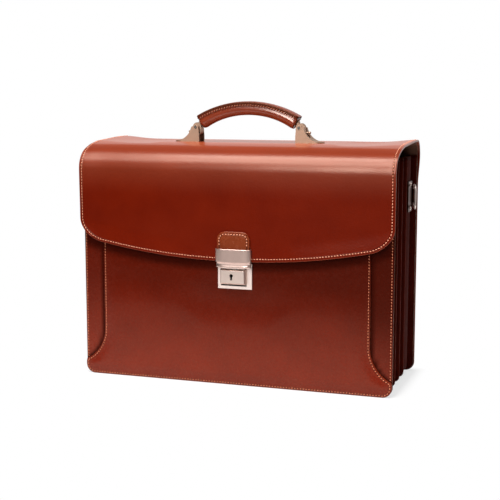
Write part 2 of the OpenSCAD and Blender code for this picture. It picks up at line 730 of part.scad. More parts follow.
// The channel's cavity reaches this far into the flap's side, so that it opens cleanly.
channel_cut = 0.01;
band_sill = band_proud / 3;
lip_sill = lip_proud / 3;
lip_w = hasp_w - 2;
module hasp_shell() color("silver")
    translate([lock_x, 0, 0]) {
        channel_shell(hasp_w, band_proud, band_sill, z_flap, z_flap + band_h);
        channel_shell(lip_w, lip_proud, lip_sill, z_flap - lip_h, z_flap + 0.01);
        // The shelf joins the band to the lip.
        translate([0, 0, z_flap]) linear_extrude(hasp_t)
            difference() {
                polygon(channel(hasp_w, band_proud, band_sill));
                translate([-hasp_w, y_flap - tab_t - 0.1]) square([2 * hasp_w, tab_t + 1]);
            }
    }
module hasp_tongue() color("silver")
    difference() {
        translate([lock_x - tongue_w / 2, tongue_y, tongue_z])
            cube([tongue_w, y_pocket - 1.6 - tongue_y, tongue_t]);
        translate([lock_x - catch_w / 2 - run_gap, catch_y - catch_t - run_gap, tongue_z - 1])
            cube([catch_w + 2 * run_gap, catch_t + run_gap + 1.4, tongue_t + 2]);
    }
tongue_y = y_flap - lip_proud + hasp_t + channel_cut;
tab_z0 = z_flap + hasp_t + 0.3;
module lock_tab() color("sienna")
    difference() {
        plate_xz(y_flap - tab_t, y_flap)
            polygon(concat(
                [[lock_x - tab_w / 2, tab_z0], [lock_x + tab_w / 2, tab_z0]],
                arc([lock_x + tab_w / 2 - tab_corner_r, tab_top - tab_corner_r], tab_corner_r, 0, 90, 8),
                arc([lock_x - tab_w / 2 + tab_corner_r, tab_top - tab_corner_r], tab_corner_r, 90, 180, 8)));
        hasp_rivet_holes();
    }
tab_top = z_flap + band_h + tab_show;
y_lining = y_flap + flap_stack;
hasp_backing_t = 0.5;
module hasp_rivets() color("gray")
    for (s = [-1, 1]) {
        bar_y(lock_x + s * hasp_rivet_x, hasp_rivet_z, rivet_r, y_flap - tab_t - rivet_head_h, y_lining + hasp_backing_t);
        bar_y(lock_x + s * hasp_rivet_x, hasp_rivet_z, rivet_head_r, y_flap - tab_t - rivet_head_h, y_flap - tab_t);
    }
module hasp_backing() color("gray")
    difference() {
        plate_xz(y_lining, y_lining + hasp_backing_t)
            translate([lock_x - tab_w / 2, hasp_rivet_z - 4]) square([tab_w, 8]);
        hasp_rivet_holes();
    }

// Strap rings

module ring_rivet_holes()
    for (s = [-1, 1])
        translate([ring_plate_x - 20, rear_mid_y, ring_z + s * ring_rivet_z])
            rotate([0, 90, 0]) cylinder(r = rivet_r + hole_gap, h = 30);
ring_rivet_z = ring_plate_h / 2 - 4;
module ring_plate() color("silver")
    difference() {
        union() {
            translate([ring_plate_x, ring_axis_y - ring_plate_w, ring_z - ring_plate_h / 2])
                cube([ring_plate_t, ring_plate_w, ring_plate_h]);
            translate([ring_axis_x, ring_axis_y, ring_z - ring_barrel_h / 2])
                cylinder(r = ring_barrel_r, h = ring_barrel_h);
        }
        translate([ring_axis_x, ring_axis_y, ring_z - ring_plate_h])
            cylinder(r = wire_r + hole_gap, h = 2 * ring_plate_h);
        // The ring's leg swings in the gaps above and below the barrel.
        for (s = [0, 1]) mirror([0, 0, s]) translate([0, 0, s * -2 * ring_z])
            translate([ring_plate_x - 1, ring_axis_y - ring_barrel_r - 1, ring_z + ring_barrel_h / 2])
                cube([2 * ring_barrel_r + 2, 2 * ring_barrel_r + 2, ring_plate_h / 2]);
        ring_rivet_holes();
    }
module ring_plate_right() ring_plate();
module ring_plate_left() mirror([1, 0, 0]) ring_plate();

ring_washer_x = half_w - fin_inset - flange_w + rear_bulge - gusset_t / 2 - washer_gap;
module ring_rivets() color("silver")
    both_sides() for (s = [-1, 1]) translate([0, rear_mid_y, ring_z + s * ring_rivet_z]) rotate([0, 90, 0]) {
        translate([0, 0, ring_washer_x - backing_t])
            cylinder(r = rivet_r, h = ring_plate_x + ring_plate_t - ring_washer_x + backing_t + 0.1);
        translate([0, 0, ring_plate_x + ring_plate_t]) cylinder(r1 = rivet_head_r - 0.2, r2 = rivet_r, h = rivet_head_h);
    }
module ring_washers() color("gray")
    both_sides() for (s = [-1, 1]) translate([0, rear_mid_y, ring_z + s * ring_rivet_z]) rotate([0, 90, 0])
        translate([0, 0, ring_washer_x - backing_t]) difference() {
            cylinder(r = rivet_head_r + 0.6, h = backing_t);
            translate([0, 0, -1]) cylinder(r = rivet_r + hole_gap, h = backing_t + 2);
        }

// A rounded loop of round wire whose rear leg runs in the barrel. It reaches towards the front.
module strap_ring() color("silver")
    translate([ring_axis_x, ring_axis_y, ring_z]) rotate([0, 0, ring_tilt]) {
        for (y = [0, -ring_reach])
            translate([0, y, ring_corner_r - ring_h / 2]) cylinder(r = wire_r, h = ring_h - 2 * ring_corner_r);
        for (z = [-ring_h / 2, ring_h / 2])
            translate([0, -ring_corner_r, z]) rotate([90, 0, 0])
                cylinder(r = wire_r, h = ring_reach - 2 * ring_corner_r);
        for (y = [0, 1], z = [0, 1]) mirror([0, 0, z])
            translate([0, y ? ring_corner_r - ring_reach : -ring_corner_r, ring_h / 2 - ring_corner_r])
                mirror([0, y, 0]) rotate([90, 0, 90]) rotate_extrude(angle = 90)
                    translate([ring_corner_r, 0]) circle(wire_r);
    }
module strap_ring_right() strap_ring();
module strap_ring_left() mirror([1, 0, 0]) strap_ring();

back_panel();
back_board();
back_lining();
front_panel();
front_board();
front_lining();
front_pocket();
front_gusset();
second_gusset();
third_gusset();
rear_gusset();
front_divider();
middle_divider();
rear_divider();
lock_base();
lock_backing();
lock_studs();
lock_button();
lock_catch();
button_spring();
key_barrel();
ring_plate_left();
ring_plate_right();
ring_rivets();
ring_washers();
strap_ring_left();
strap_ring_right();
flap();
flap_stiffener();
flap_lining();
lock_tab();
hasp_shell();
hasp_tongue();
hasp_rivets();
hasp_backing();
bracket_left();
bracket_right();
bracket_pins();
bracket_studs();
bracket_backings();
handle_grip();
handle_spine();
handle_core();
handle_loop_left();
handle_loop_right();
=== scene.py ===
import math

import bmesh
import bpy
import numpy as np
from mathutils import Matrix, Vector


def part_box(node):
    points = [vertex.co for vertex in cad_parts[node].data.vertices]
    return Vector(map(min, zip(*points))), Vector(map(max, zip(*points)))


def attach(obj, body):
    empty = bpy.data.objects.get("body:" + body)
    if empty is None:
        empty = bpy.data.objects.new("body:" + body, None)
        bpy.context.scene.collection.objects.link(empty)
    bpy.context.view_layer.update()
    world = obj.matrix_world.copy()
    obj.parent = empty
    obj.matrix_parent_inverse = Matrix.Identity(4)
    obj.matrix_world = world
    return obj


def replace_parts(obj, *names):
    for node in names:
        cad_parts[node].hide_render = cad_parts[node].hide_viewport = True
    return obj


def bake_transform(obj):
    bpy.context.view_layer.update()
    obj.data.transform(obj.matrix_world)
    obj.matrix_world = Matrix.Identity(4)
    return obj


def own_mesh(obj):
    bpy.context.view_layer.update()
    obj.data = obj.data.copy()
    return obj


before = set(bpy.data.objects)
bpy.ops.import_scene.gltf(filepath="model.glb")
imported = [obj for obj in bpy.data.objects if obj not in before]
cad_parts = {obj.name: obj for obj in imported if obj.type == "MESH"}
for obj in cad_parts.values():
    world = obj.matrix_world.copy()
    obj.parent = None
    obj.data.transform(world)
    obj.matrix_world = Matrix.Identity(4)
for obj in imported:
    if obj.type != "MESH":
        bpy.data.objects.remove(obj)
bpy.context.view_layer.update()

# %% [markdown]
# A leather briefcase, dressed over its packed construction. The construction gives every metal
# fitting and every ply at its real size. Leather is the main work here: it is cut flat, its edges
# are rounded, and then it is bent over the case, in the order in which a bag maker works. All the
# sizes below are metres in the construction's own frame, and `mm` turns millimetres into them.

mm = 0.001

# %% [markdown]
# The places of walls and edges come from the construction, so the dressed pieces can't drift away
# from it. Only the radii of the bends are written again, because a box doesn't tell them.

# %% Places read from the construction
half_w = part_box("front_panel")[1].x
panel_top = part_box("front_panel")[1].z
y_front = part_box("front_panel")[0].y
y_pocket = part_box("front_pocket")[0].y
pocket_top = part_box("front_pocket")[1].z
y_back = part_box("back_panel")[1].y
flap_low, flap_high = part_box("flap")
y_flap, top_z, flap_z = flap_low.y, flap_high.z, flap_low.z
flap_half_w = flap_high.x
tab_low, tab_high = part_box("lock_tab")
lock_x = (tab_low.x + tab_high.x) / 2
tab_half_w = (tab_high.x - tab_low.x) / 2
gusset_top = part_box("front_gusset")[1].z
fin_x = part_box("front_divider")[1].x
leather_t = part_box("back_panel")[1].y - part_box("back_panel")[0].y
print("case", round(2 * half_w, 4), "wide,", round(y_back - y_front, 4), "deep,", round(top_z, 4), "high")

# %% [markdown]
# Materials are node trees. One helper adds any node, sets its options, fills or links its inputs, and
# gives the output that the next node reads, so that each material below reads as a short list. Colours
# are written as sRGB hex values, as they are read off a picture, and turned to the linear values that
# the shader works in.

# %% Helpers for colours and nodes
def linear(code):
    parts = [int(code[i:i + 2], 16) / 255 for i in (1, 3, 5)]
    return [c / 12.92 if c <= 0.04045 else ((c + 0.055) / 1.055) ** 2.4 for c in parts] + [1.0]


def set_inputs(tree, target, inputs):
    for key, value in inputs.items():
        if isinstance(value, bpy.types.NodeSocket):
            tree.links.new(value, target.inputs[key])
        else:
            target.inputs[key].default_value = value


def shade(tree, kind, inputs=None, take=0, **settings):
    """Adds a node, and gives its output with the name or number take."""
    made = tree.nodes.new("ShaderNode" + kind)
    for key, value in settings.items():
        setattr(made, key, value)
    set_inputs(tree, made, inputs or {})
    return made.outputs[take]


def new_material(name):
    made = bpy.data.materials.new(name)
    made.use_nodes = True
    return made, made.node_tree, made.node_tree.nodes["Principled BSDF"]


FACTOR, FIRST, SECOND = 0, 6, 7    # the Mix node's inputs when it mixes colours
COLOURS = {"data_type": "RGBA", "take": 2}
SMOOTH = {"interpolation_type": "SMOOTHSTEP"}


print("a mid leather brown in linear values:", [round(c, 3) for c in linear("#7E210E")[:3]])

# %% [markdown]
# Full-grain leather is cowhide, drum dyed, waxed and ironed. The eye sees a deep red-brown that goes a
# little lighter and darker over a hand's breadth, a fine pebble of a millimetre or two that only shows
# where light rakes it, and a soft shine that is strongest at a grazing angle. Cut edges are painted
# and polished, and each row of stitches lies in a shallow pressed groove.
# The pattern could be painted as a picture, but here it is made of a cell pattern and two noises.
# They read the attribute `flat`, which holds where each point lay before the leather was bent, so the
# grain stays put when the flap moves. The attribute `rim` is the distance from the cut edge. `pull` is
# where a bend stretches the leather, which makes it smoother and shinier, and lighter: partly as
# stretched leather goes, and partly painted light on the lit top and front bend. A further attribute
# holds painted shade on the front wall: a painted shadow along the flap's edge and beside the pocket's
# seams, and shade that darkens the wall upward and to the right.

# %% Leather
patch_w, ripple_h = 55 * mm, 0.12    # the width of a lighter patch, and the ripple's height in millimetres
groove_w, groove_d = 1.2 * mm, 0.3   # the groove's half width, and its depth in millimetres
# The dark used for the painted shade and in the seams' grooves.
groove_and_shade_dark = "#2C0602"


def leather(name, face, deep, edge="#6A2410", grain=1.7, roughness=0.27, groove=None, flat=True,
            depth=0.018, specular=0.45, coat=0.0, tint="#FFD2B6", lit_stretch_colour=None, with_painted_shade=False, crease=5):
    made, tree, surface = new_material(name)
    if flat:
        where = shade(tree, "Attribute", take="Vector", attribute_name="flat")
    else:
        where = shade(tree, "TexCoord", take="Object")
    sway = shade(tree, "TexNoise", {"Vector": where, "Scale": 1 / (4 * grain * mm), "Detail": 2}, "Color")
    pushed = shade(tree, "VectorMath", {0: sway, 1: (grain * mm,) * 3}, operation="MULTIPLY")
    bent = shade(tree, "VectorMath", {0: where, 1: pushed}, operation="ADD")
    cells = shade(tree, "TexVoronoi", {"Vector": bent, "Scale": 1 / (grain * mm)}, "Distance",
                  feature="DISTANCE_TO_EDGE")
    pebble = shade(tree, "MapRange", {"Value": cells, "From Max": 0.3, "To Max": depth}, **SMOOTH)
    broad = shade(tree, "TexNoise", {"Vector": where, "Scale": 1 / patch_w, "Detail": 3, "Roughness": 0.55},
                  "Fac")
    patch = shade(tree, "MapRange", {"Value": broad, "From Min": 0.3, "From Max": 0.7})
    colour = shade(tree, "Mix", {FACTOR: patch, FIRST: linear(deep), SECOND: linear(face)}, **COLOURS)
    # A lighter colour where the leather is stretched, partly painted light on the lit top and bend.
    if lit_stretch_colour:
        pull = shade(tree, "Attribute", take="Fac", attribute_name="pull")
        colour = shade(tree, "Mix", {FACTOR: pull, FIRST: colour, SECOND: linear(lit_stretch_colour)}, **COLOURS)
        specular = shade(tree, "MapRange", {"Value": pull, "From Max": 0.25, "To Min": 0.14,
                                            "To Max": 0.66})
        smooth = shade(tree, "MapRange", {"Value": pull, "To Min": 1, "To Max": 0.25})
        pebble = shade(tree, "Math", {0: pebble, 1: smooth}, operation="MULTIPLY")
    ripple = shade(tree, "TexNoise", {"Vector": where, "Scale": 1 / (crease * mm), "Detail": 2}, "Fac")
    shine = shade(tree, "MapRange", {"Value": ripple, "To Min": roughness - 0.06,
                                     "To Max": roughness + 0.06})
    swell = shade(tree, "Math", {0: ripple, 1: ripple_h}, operation="MULTIPLY")
    height = shade(tree, "Math", {0: pebble, 1: swell}, operation="ADD")
    if flat:
        rim = shade(tree, "Attribute", take="Fac", attribute_name="rim")
        paint = shade(tree, "MapRange", {"Value": rim, "From Min": 0.25 * mm, "From Max": 0.8 * mm,
                                         "To Min": 1, "To Max": 0})
        colour = shade(tree, "Mix", {FACTOR: paint, FIRST: colour, SECOND: linear(edge)}, **COLOURS)
        # The seam's groove is pressed in and darkened: partly as pressed leather darkens, and partly
        # painted shade in the groove.
        if groove:
            off = shade(tree, "Math", {0: rim, 1: groove * mm}, operation="SUBTRACT")
            off = shade(tree, "Math", {0: off}, operation="ABSOLUTE")
            press = shade(tree, "MapRange", {"Value": off, "From Max": groove_w, "To Min": 1, "To Max": 0},
                          **SMOOTH)
            dip = shade(tree, "Math", {0: press, 1: -groove_d}, operation="MULTIPLY")
            height = shade(tree, "Math", {0: height, 1: dip}, operation="ADD")
            darkened = shade(tree, "Math", {0: press, 1: 0.85}, operation="MULTIPLY")
            # Painted shade from the attribute: it darkens the wall leather's colour and takes its shine
            # off.
            if with_painted_shade:
                painted_shade = shade(tree, "Attribute", take="Fac", attribute_name="painted_shade")
                specular = shade(tree, "MapRange", {"Value": painted_shade, "To Min": specular, "To Max": 0.04})
                darkened = shade(tree, "Math", {0: darkened, 1: painted_shade}, operation="MAXIMUM")
            colour = shade(tree, "Mix", {FACTOR: darkened, FIRST: colour, SECOND: linear(groove_and_shade_dark)}, **COLOURS)
    bump = shade(tree, "Bump", {"Height": height, "Strength": 1, "Distance": mm})
    set_inputs(tree, surface, {"Base Color": colour, "Roughness": shine, "Normal": bump,
                               "Specular IOR Level": specular, "Specular Tint": linear(tint),
                               "Coat Weight": coat, "Coat Roughness": 0.2})
    return made

# %% The leathers of this case
flap_groove, wall_groove, tab_groove = 3.7, 2.4, 3.2    # from edge to seam, in millimetres
# The flap's leather turns lighter and more orange where it is stretched: partly as stretched leather goes,
# and partly painted light on the lit top and front bend. Its edge colour is set lighter than its face: edge
# paint, and partly a painted highlight where the rounded rim catches light.
case_leather = leather("full_grain_leather", "#611201", "#580D00", edge="#8A3C28", groove=flap_groove,
                       roughness=0.31, lit_stretch_colour="#903C1C", tint="#FFDAC4", crease=2.8)
wall_leather = leather("full_grain_wall_leather", "#6C1502", "#601001", groove=wall_groove, with_painted_shade=True)
tab_leather = leather("waxed_tab_leather", "#7A3318", "#66260C", groove=tab_groove)
handle_leather = leather("waxed_handle_leather", "#822F12", "#70260C", flat=False, roughness=0.2,
                         depth=0.012, coat=1.0)
strap_leather = leather("waxed_strap_leather", "#782C12", "#66240A", edge="#4A1C0C", roughness=0.36,
                        specular=0.25)
gusset_leather = leather("soft_gusset_leather", "#4C1006", "#400C04", roughness=0.7, specular=0.06)
divider_leather = leather("split_divider_leather", "#70200E", "#5C180A", flat=False, roughness=0.66,
                          specular=0.05)
print("leathers:", [m.name for m in bpy.data.materials if "leather" in m.name])

# %% [markdown]
# The fittings are zinc castings and pressed steel with satin nickel plating. Satin nickel is brushed
# before it is plated, which draws every highlight out across the strokes. Strokes a few hundredths of
# a millimetre wide are too fine to show, so they are drawn 0.25 mm wide and several long.

# %% Metals
stroke_d = 0.01 * mm


def brushed(name, colour, roughness, stroke=(6, 0.25, 0.25)):
    made, tree, surface = new_material(name)
    where = shade(tree, "TexCoord", take="Object")
    drawn_out = shade(tree, "Mapping", {"Vector": where, "Scale": tuple(1 / (s * mm) for s in stroke)})
    strokes = shade(tree, "TexNoise", {"Vector": drawn_out, "Scale": 1, "Detail": 3}, "Fac")
    shine = shade(tree, "MapRange", {"Value": strokes, "To Min": roughness - 0.08,
                                     "To Max": roughness + 0.08})
    cloud = shade(tree, "TexNoise", {"Vector": where, "Scale": 1 / (9 * mm), "Detail": 2}, "Fac")
    darkened = [c * 0.86 for c in linear(colour)[:3]] + [1.0]
    tint = shade(tree, "Mix", {FACTOR: cloud, FIRST: linear(colour), SECOND: darkened}, **COLOURS)
    bump = shade(tree, "Bump", {"Height": strokes, "Strength": 1, "Distance": stroke_d})
    set_inputs(tree, surface, {"Base Color": tint, "Metallic": 1, "Roughness": shine, "Normal": bump})
    return made


satin_nickel = brushed("satin_nickel_plating", "#FFEAE0", 0.42)
button_nickel = brushed("satin_button_plating", "#E4CEC2", 0.4)
hasp_nickel = brushed("brushed_hasp_plating", "#DCBEB2", 0.34)
bright_nickel = brushed("bright_nickel_plating", "#EAD6C8", 0.2, stroke=(3, 3, 3))
plain_steel = brushed("zinc_plated_steel", "#A9A8A4", 0.36, stroke=(2, 2, 2))
# A black metal that stands for shade: the keyhole's barrel and the ring round the keyhole.
shade_black = brushed("black_keyhole_shade", "#2A2420", 0.4, stroke=(1, 1, 1))
# The brackets' plating is darkened and tinted warm brown, partly a painted reflection of the brown leather
# round them and painted shade.
bracket_nickel = brushed("warm_nickel_plating", "#B4957F", 0.58, stroke=(0.3, 0.3, 5))
plate_bronze = brushed("browned_bronze", "#5A362A", 0.35, stroke=(2, 2, 2))
metals = (satin_nickel, button_nickel, hasp_nickel, bright_nickel, plain_steel, shade_black, bracket_nickel,
          plate_bronze)
print("metals:", [m.name for m in metals])

# %% [markdown]
# Three plain stuffs are left. The lining is a brushed cotton twill: its ribs are drawn 0.8 mm apart,
# coarser than real ones, so that they show. The board in the walls is pressed grey paper fibre. The
# thread is waxed polyester, and its twist shows as short dark and light bands.

# %% Cloth, board and thread
nap = 0.05 * mm


def woven(name, face, deep, rib_w, roughness, sheen):
    made, tree, surface = new_material(name)
    where = shade(tree, "Attribute", take="Vector", attribute_name="flat")
    ribs = shade(tree, "TexWave", {"Vector": where, "Scale": 0.5 * math.pi / (10 * rib_w * mm),
                                   "Distortion": 0.6, "Detail": 1}, "Fac", bands_direction="DIAGONAL")
    cloud = shade(tree, "TexNoise", {"Vector": where, "Scale": 1 / (7 * mm), "Detail": 4}, "Fac")
    colour = shade(tree, "Mix", {FACTOR: cloud, FIRST: linear(deep), SECOND: linear(face)}, **COLOURS)
    bump = shade(tree, "Bump", {"Height": ribs, "Strength": 1, "Distance": nap})
    set_inputs(tree, surface, {"Base Color": colour, "Roughness": roughness, "Normal": bump,
                               "Sheen Weight": sheen, "Specular IOR Level": 0.2})
    return made


def fibrous(name, face, deep, speck, roughness):
    made, tree, surface = new_material(name)
    where = shade(tree, "TexCoord", take="Object")
    fibres = shade(tree, "TexNoise", {"Vector": where, "Scale": 1 / (speck * mm), "Detail": 4}, "Fac")
    colour = shade(tree, "Mix", {FACTOR: fibres, FIRST: linear(deep), SECOND: linear(face)}, **COLOURS)
    bump = shade(tree, "Bump", {"Height": fibres, "Strength": 1, "Distance": nap})
    set_inputs(tree, surface, {"Base Color": colour, "Roughness": roughness, "Normal": bump,
                               "Specular IOR Level": 0.25})
    return made


lining_cloth = woven("cotton_twill_lining", "#6E4634", "#5C3828", 0.8, 0.8, 0.2)
wall_lining = fibrous("brushed_cotton_lining", "#6E4634", "#5C3828", 0.9, 0.85)
fibre_board = fibrous("grey_fibre_board", "#8C8174", "#6E6459", 1.2, 0.8)
# Black stuff for the painted shadow under the lock's button.
shadow_strip = fibrous("black_shadow_strip", "#1C1614", "#0C0908", 0.4, 0.9)
thread = fibrous("waxed_polyester_thread", "#F2A888", "#DC8662", 0.5, 0.45)
wall_thread = fibrous("waxed_wall_thread", "#D88662", "#B4603E", 0.5, 0.45)
handle_thread = fibrous("waxed_linen_thread", "#DC9A76", "#BC7652", 0.5, 0.45)
stuffs = lining_cloth, wall_lining, fibre_board, shadow_strip, thread, wall_thread, handle_thread
print("stuffs:", [m.name for m in stuffs])

# %% [markdown]
# A hide is cut flat, and its edges are skived and rounded before anything is folded. The same order
# is the easy one here: a grid of square cells is shaped in the flat, extruded to its thickness, and
# the rim is bevelled. Only then does a `place` function carry every point to where it lies on the
# case. A bend could be modelled by hand, but a formula keeps the grain and the stitches in step.
# Square corners are rounded with the squircle mapping, which keeps the cells nearly square.

# %% Spacing and corners
def divide(start, *legs):
    marks = [start]
    for stop, step in legs:
        count = max(1, round(abs(stop - marks[-1]) / step))
        marks += list(np.linspace(marks[-1], stop, count + 1)[1:])
    return marks


def rimmed(low, high, step):
    return divide(low, (low + 4 * mm, 2 * mm), (low + 10 * mm, 3 * mm), (high - 10 * mm, step),
                  (high - 4 * mm, 3 * mm), (high, 2 * mm))


def round_corner(x, y, half, edge, r, way):
    """Carries a point near the corner of a strip, 2 * half wide and ending at edge, onto a round corner."""
    u = (abs(x) - (half - r)) / r
    v = 1 - (edge - y) * way / r
    if u <= 0 or v <= 0:
        return x, y
    u, v = u * math.sqrt(1 - v * v / 2), v * math.sqrt(1 - u * u / 2)
    return math.copysign(half - r + u * r, x), edge - way * (1 - v) * r

# %% Cutting leather in the flat
def grid(us, vs, shape):
    """A sheet of square cells, whose corners lie where shape puts each pair of one of us and one of vs."""
    bm = bmesh.new()
    bmesh.ops.create_grid(bm, x_segments=len(us) - 1, y_segments=len(vs) - 1, size=1)
    for v in bm.verts:
        u = us[round((v.co.x + 1) / 2 * (len(us) - 1))]
        w = vs[round((v.co.y + 1) / 2 * (len(vs) - 1))]
        v.co = shape(u, w)
    bm.normal_update()
    return bm


def cut(us, vs, shape):
    bm = grid(us, vs, lambda u, w: (*shape(u, w), 0))
    outline = [(e.verts[0].co.to_2d(), e.verts[1].co.to_2d()) for e in bm.edges if e.is_boundary]
    return bm, outline


def thicken(bm, upper, lower, rounding):
    """Gives a flat cut its thickness, from the height lower to the height upper, and rounds its rim."""
    bmesh.ops.translate(bm, verts=bm.verts, vec=(0, 0, lower))
    grown = bmesh.ops.extrude_face_region(bm, geom=bm.faces[:], use_keep_orig=True)["geom"]
    raised = [g for g in grown if isinstance(g, bmesh.types.BMVert)]
    bmesh.ops.translate(bm, verts=raised, vec=(0, 0, upper - lower))
    bmesh.ops.recalc_face_normals(bm, faces=bm.faces)
    if rounding:
        rim = [e for e in bm.edges if e.calc_face_angle(0) > math.radians(60)
               and abs(e.verts[0].co.z - e.verts[1].co.z) < 1e-6]
        bmesh.ops.bevel(bm, geom=rim, offset=rounding, segments=3, profile=0.5, affect="EDGES", material=-1)
    return bm

# %% Laying a cut in its place
def distance_from(outline, points):
    """How far each flat point lies from the nearest stretch of the outline."""
    a = np.array([p for p, _ in outline])
    d = np.array([q for _, q in outline]) - a
    square = np.maximum((d * d).sum(1), 1e-16)
    nearest = np.full(len(points), 1e9)
    for start in range(0, len(points), 4000):
        p = points[start:start + 4000, None, :]
        t = np.clip(((p - a) * d).sum(2) / square, 0, 1)
        gap = p - a - t[..., None] * d
        nearest[start:start + 4000] = np.sqrt((gap * gap).sum(2).min(1))
    return nearest


def lay(bm, name, outline, place, material):
    """Carries a flat cut to its place, with its flat place and rim distance kept as attributes."""
    rim = bm.verts.layers.float.new("rim")
    flat = bm.verts.layers.float_vector.new("flat")
    points = np.array([v.co for v in bm.verts])
    away = distance_from(outline, points[:, :2])
    for v, gap, spot in zip(bm.verts, away, place(points, away)):
        v[rim] = gap
        v[flat] = v.co.copy()
        v.co = spot
    bmesh.ops.recalc_face_normals(bm, faces=bm.faces)
    return as_piece(bm, name, material)


def add_object(name, data):
    made = bpy.data.objects.new(name, data)
    bpy.context.scene.collection.objects.link(made)
    return made


def as_piece(bm, name, material):
    mesh = bpy.data.meshes.new(name)
    bm.to_mesh(mesh)
    bm.free()
    mesh.materials.append(material)
    mesh.shade_smooth()
    made = add_object(name, mesh)
    print(name, len(mesh.polygons), "faces")
    return made

# %% Numbers at each point
def add_field(piece, name, field):
    """Gives each point of a piece a number that field works out from its flat place."""
    flat = np.empty(len(piece.data.vertices) * 3, dtype=np.float32)
    piece.data.attributes["flat"].data.foreach_get("vector", flat)
    x, y, _ = flat.reshape(-1, 3).T
    numbers = piece.data.attributes.new(name, "FLOAT", "POINT").data
    numbers.foreach_set("value", field(x, y).astype(np.float32))


def ease(x, low, high):
    t = np.clip((x - low) / (high - low), 0, 1)
    return t * t * (3 - 2 * t)


# %% [markdown]
# Stitches are what makes a bag look sewn, so each one is real: a short bead of thread, a little
# slanted, half sunk in the leather. A row could be a dashed texture, but that has no shadow of its
# own. The row is spaced along a flat path, and the beads go through the same `place` function as the
# leather under them. A bead has few faces, because there are a thousand of them.

# %% Spots along a seam
def run_along(path):
    """How far along the path each of its points lies."""
    return np.concatenate([[0], np.cumsum(np.linalg.norm(np.diff(path, axis=0), axis=1))])


def spaced(path, step):
    """Spots at equal steps along the path, each with the path's heading there."""
    path = np.array(path)
    run = run_along(path)
    count = max(2, round(run[-1] / step))
    marks = (np.arange(count) + 0.5) * run[-1] / count
    spots, ahead = (np.stack([np.interp(at, run, path[:, k]) for k in (0, 1)], axis=1)
                    for at in (marks, marks + 0.2 * mm))
    return zip(spots, np.arctan2(ahead[:, 1] - spots[:, 1], ahead[:, 0] - spots[:, 0]))

# %% Sewing
pitch, bead_l, bead_w = 3.6 * mm, 2.2 * mm, 1.2 * mm


def sew(name, paths, height, place, slant=8, yarn=None, size=1):
    bm = bmesh.new()
    lying = Matrix.Rotation(math.pi / 2, 4, "Y")
    bmesh.ops.create_uvsphere(bm, u_segments=6, v_segments=5, radius=1, matrix=lying)
    bmesh.ops.scale(bm, verts=bm.verts, vec=(size * bead_l / 2, bead_w / 2, bead_w / 2))
    bead = bpy.data.meshes.new("bead")
    bm.to_mesh(bead)
    bm.clear()
    for path in paths:
        for spot, angle in spaced(path, pitch):
            stitch = bead.copy()
            turn = Matrix.Rotation(angle + math.radians(slant), 4, "Z")
            stitch.transform(Matrix.Translation((*spot, height)) @ turn)
            bm.from_mesh(stitch)
            bpy.data.meshes.remove(stitch)
    bpy.data.meshes.remove(bead)
    points = np.array([v.co for v in bm.verts])
    for v, spot in zip(bm.verts, place(points, np.full(len(points), 1.0))):
        v.co = spot
    bmesh.ops.recalc_face_normals(bm, faces=bm.faces)
    return as_piece(bm, name, yarn or thread)


def arc(cx, cy, r, a0, a1, n=12):
    return [(cx + r * math.cos(a), cy + r * math.sin(a)) for a in np.radians(np.linspace(a0, a1, n + 1))]


# %% [markdown]
# The back of the case, its top and its flap are one long piece of leather. It rises up the back,
# turns over a small bend, crosses the top, rolls over a larger bend, and hangs down the front to a
# bowed edge. In the flat it is a strip: X runs across, and Y is the way along it, from the foot of the
# back. `over_case` turns that way into a place and an outward direction.

# %% The way over the case
back_r, front_r = 16 * mm, 33 * mm
bend_y = y_flap + front_r
at_hinge = top_z - back_r
at_top = at_hinge + back_r * math.pi / 2
at_bend = at_top + y_back - back_r - bend_y
at_skirt = at_bend + front_r * math.pi / 2
at_end = at_skirt + top_z - front_r - flap_z
flap_bow, flap_corner_r, wall_corner_r = 24 * mm, 30 * mm, 12 * mm
bow_r = (flap_half_w ** 2 + flap_bow ** 2) / (2 * flap_bow)
print("way over the case: hinge", round(at_hinge, 4), "bend", round(at_bend, 4), "end", round(at_end, 4))


def over_case(s):
    a = np.clip((s - at_hinge) / back_r, 0, math.pi / 2)
    b = np.clip((s - at_bend) / front_r, 0, math.pi / 2)
    y = y_back - back_r * (1 - np.cos(a)) - np.clip(s - at_top, 0, at_bend - at_top) - front_r * np.sin(b)
    z = np.minimum(s, at_hinge) + back_r * np.sin(a) - front_r * (1 - np.cos(b))
    z = z - np.maximum(s - at_skirt, 0)
    return y, z, np.cos(a + b), np.sin(a + b)

# %% What use does to the flap
rear_lift, front_lift, edge_lift = 3.2 * mm, 1.6 * mm, 1.7 * mm    # how far ends and lower edge stand off
sway_d, hollow_d, shoulder_d = 0.7 * mm, 1.6 * mm, 4.8 * mm    # how far the spans swell or sink
turned_d = 1.05 * mm    # how far the outer leather's rim is turned down over the plies under it


